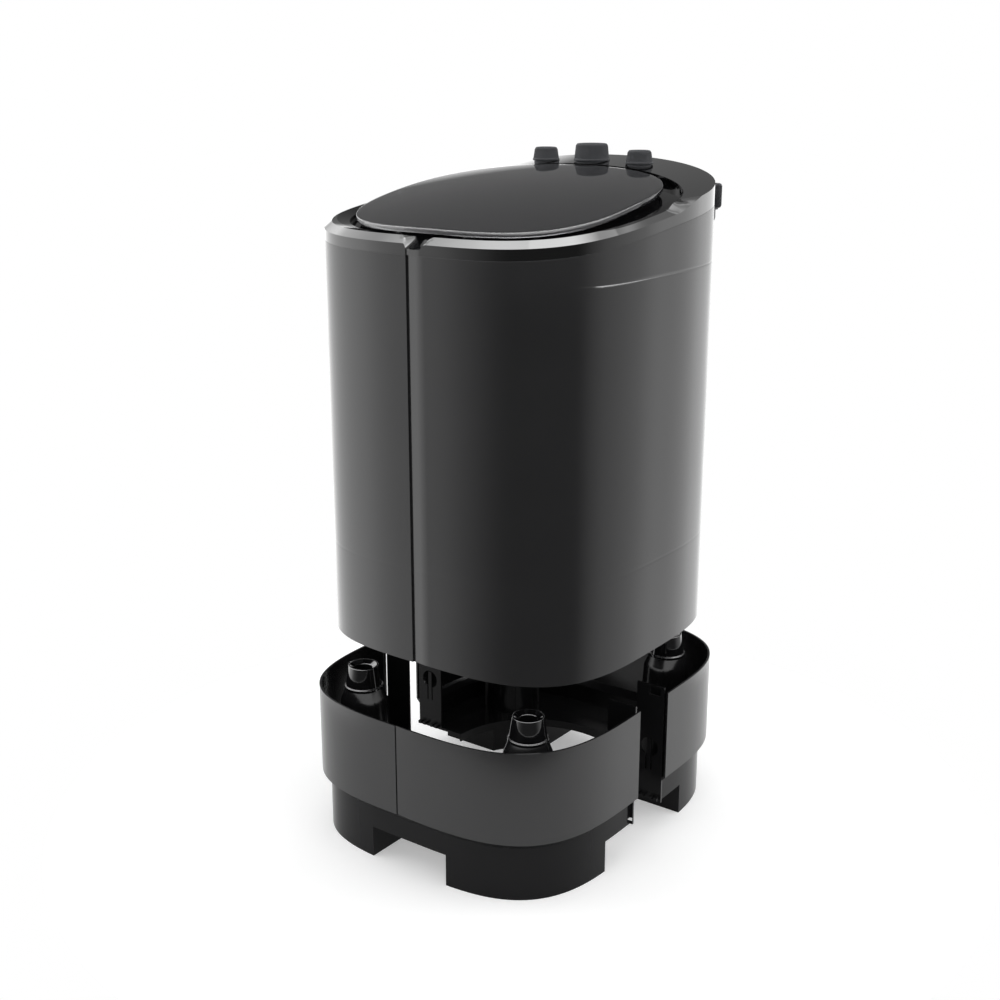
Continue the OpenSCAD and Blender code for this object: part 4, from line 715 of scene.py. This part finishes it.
bm = bmesh.new()
for _, _, x, radius, _, _ in KNOBS:
    top, reach = crown_z(x, KNOB_Y) + KNOB_RISE - BOSS_GAP, radius - BOSS_IN
    profile = ((reach, top - BOSS_H), (reach, top - BOSS_EDGE), (reach - BOSS_EDGE, top))
    loops = loft(bm, [turned_ring(x, KNOB_Y, z, r, BOSS_STEPS) for r, z in profile])
    bmesh.ops.contextual_create(bm, geom=loops[0])
    bmesh.ops.contextual_create(bm, geom=loops[-1])
finished("knob_bosses", bm, "cabinet", knob_grey, ())
for name, node, x, radius, height, ribs in KNOBS:
    base_z = crown_z(x, KNOB_Y) + KNOB_RISE
    profile = ((radius - 0.004, 0.0, 0), (radius + 0.0008, 0.0, 0), (radius + 0.001, 0.0008, 0),
               (radius + 0.001, 0.0026, 0), (radius + 0.0002, 0.0034, 0), (radius - 0.0006, 0.0042, 1),
               (radius - 0.0026, height - 0.0038, 1), (radius - 0.0034, height - 0.0016, 0),
               (radius - 0.0046, height - 0.0003, 0), (radius - 0.0062, height, 0),
               (radius - 0.0080, height - 0.0010, 0), (radius * 0.40, height - 0.0030, 0),
               (radius * 0.12, height - 0.0034, 0))
    bm = bmesh.new()
    loops = loft(bm, [turned_ring(x, KNOB_Y, base_z + up, reach, ribs * 4, RIB * ribbed, RIB * ribbed)
                      for reach, up, ribbed in profile])
    bmesh.ops.contextual_create(bm, geom=loops[0])
    bmesh.ops.contextual_create(bm, geom=loops[-1])
    finished(name, bm, node, knob_grey, (node,), sharp=50.0)

# Inlet nut. The ribbed coupling nut that draws a filling hose onto the inlet behind the rear
# corner, moulded in the same grey as the knobs.
NUT_RIBS = 36
NUT_RIDGE, NUT_VALLEY = 0.0011, 0.0006
NUT_BORE_R = 0.0122
low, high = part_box("inlet_nut")
nut_x, nut_y = (low.x + high.x) / 2, (low.y + high.y) / 2
nut_r = (high.x - low.x) / 2
profile = ((NUT_BORE_R, low.z, 0), (nut_r - 0.003, low.z, 0), (nut_r - 0.0015, low.z + 0.001, 0),
           (nut_r - 0.0012, low.z + 0.004, 1), (nut_r - 0.0012, high.z - 0.004, 1),
           (nut_r - 0.0015, high.z - 0.001, 0), (nut_r - 0.003, high.z, 0), (NUT_BORE_R, high.z, 0),
           (NUT_BORE_R, low.z, 0))
bm = bmesh.new()
loft(bm, [turned_ring(nut_x, nut_y, z, reach, NUT_RIBS * 4, NUT_RIDGE * ribbed, NUT_VALLEY * ribbed)
          for reach, z, ribbed in profile])
finished("inlet_grip", bm, "inlet_nut", knob_grey, ("inlet_nut",), sharp=40.0)


# Base halves. Moulded in black ABS with legs, floor, posts and end plates in one piece. The
# solids' own shapes are kept here, with merged corners and softened edges.
def softened_copy(node, name, body, material, edge):
    """A merged copy of a solid, its flats made whole and its edges softened."""
    bm = bmesh.new()
    bm.from_mesh(frame["nodes"][node].data)
    bmesh.ops.remove_doubles(bm, verts=bm.verts, dist=2e-6)
    bmesh.ops.dissolve_limit(bm, angle_limit=math.radians(0.4), use_dissolve_boundaries=False,
                             verts=bm.verts[:], edges=bm.edges[:], delimit=set())
    for face in bm.faces:
        face.smooth = True
    for e in bm.edges:
        e.smooth = len(e.link_faces) == 2 and e.calc_face_angle(0.0) < math.radians(28)
    mesh = bpy.data.meshes.new(name)
    bm.to_mesh(mesh)
    bm.free()
    mesh.materials.append(material)
    piece = bpy.data.objects.new(name, mesh)
    bpy.context.scene.collection.objects.link(piece)
    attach(piece, body)
    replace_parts(piece, node)
    rounded(piece, edge)


base_black = moulded("base_black", (0.0085, 0.0085, 0.009), 0.2, grain=0.04)
# Within the outline of either half the plastic reflects less and is a little glossier: painted shade that
# darkens the inside of the base.
INSIDE_LIMIT = 0.955
low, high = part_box("base_front")
_, rear_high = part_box("base_rear")
both = base_black.node_tree.nodes.new("ShaderNodeMath")
both.operation = "MAXIMUM"
for k, centre_y in enumerate((rear_high.y - CABINET_HALF[1], low.y + CABINET_HALF[1])):
    painted_shade_mask = inside_outline(base_black, CABINET_HALF, ((low.x + high.x) / 2, centre_y), CABINET_POWER,
                          INSIDE_LIMIT)
    base_black.node_tree.links.new(painted_shade_mask, both.inputs[k])
painted_shade_dimming(base_black, both.outputs[0], (("Specular IOR Level", 0.5, 0.1), ("Roughness", 0.2, 0.16)))
BASE_EDGE, CAP_EDGE = 0.0007, 0.0008
for half in ("rear", "front"):
    softened_copy(f"base_{half}", f"base_{half}_moulding", f"base_{half}", base_black, BASE_EDGE)

# Post caps. Glossy black sleeves pushed onto the posts, open at the top, which carry the tub.
cap_black = moulded("cap_black", (0.006, 0.006, 0.0065), 0.07, grain=0.01, coat=0.3)
for half in ("rear", "front"):
    softened_copy(f"{half}_post_caps", f"{half}_caps", f"base_{half}", cap_black, CAP_EDGE)

# Inner works. Each keeps its solid, with its own finish.
FINISHES = {
    "tub_grey": ((0.45, 0.46, 0.48), 0.35), "filter_white": ((0.7, 0.71, 0.73), 0.4),
    "impeller_grey": ((0.5, 0.51, 0.53), 0.35), "pulley_plastic": ((0.05, 0.05, 0.052), 0.5),
    "control_cream": ((0.6, 0.58, 0.5), 0.5), "capacitor_white": ((0.7, 0.7, 0.67), 0.4),
    "fitting_black": ((0.03, 0.03, 0.032), 0.4), "hose_grey": ((0.08, 0.08, 0.085), 0.6),
    "black_rubber": ((0.02, 0.02, 0.02), 0.75), "belt_rubber": ((0.015, 0.015, 0.015), 0.8),
}
METALS = {
    "cast_aluminium": ((0.6, 0.61, 0.62), 0.5), "zinc_sheet": ((0.55, 0.56, 0.57), 0.35),
    "screw_steel": ((0.6, 0.6, 0.6), 0.3), "bearing_steel": ((0.62, 0.62, 0.63), 0.2),
    "motor_paint": ((0.12, 0.125, 0.13), 0.4),
}
works = {}
for slot_name, (colour, rough) in FINISHES.items():
    works[slot_name] = moulded(slot_name, colour, rough, grain=0.1)
for slot_name, (colour, rough) in METALS.items():
    works[slot_name] = moulded(slot_name, colour, rough, grain=0.15)
    if slot_name != "motor_paint":
        works[slot_name].node_tree.nodes["Principled BSDF"].inputs["Metallic"].default_value = 1.0
replaced = set()
for o in bpy.data.objects:
    replaced |= set(o.get("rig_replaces", []))
for entry in frame["record"]["subparts"]:
    if entry["node"] in replaced:
        continue
    node = frame["nodes"][entry["node"]]
    node.data.materials.clear()
    node.data.materials.append(works[entry["material_slot"]])
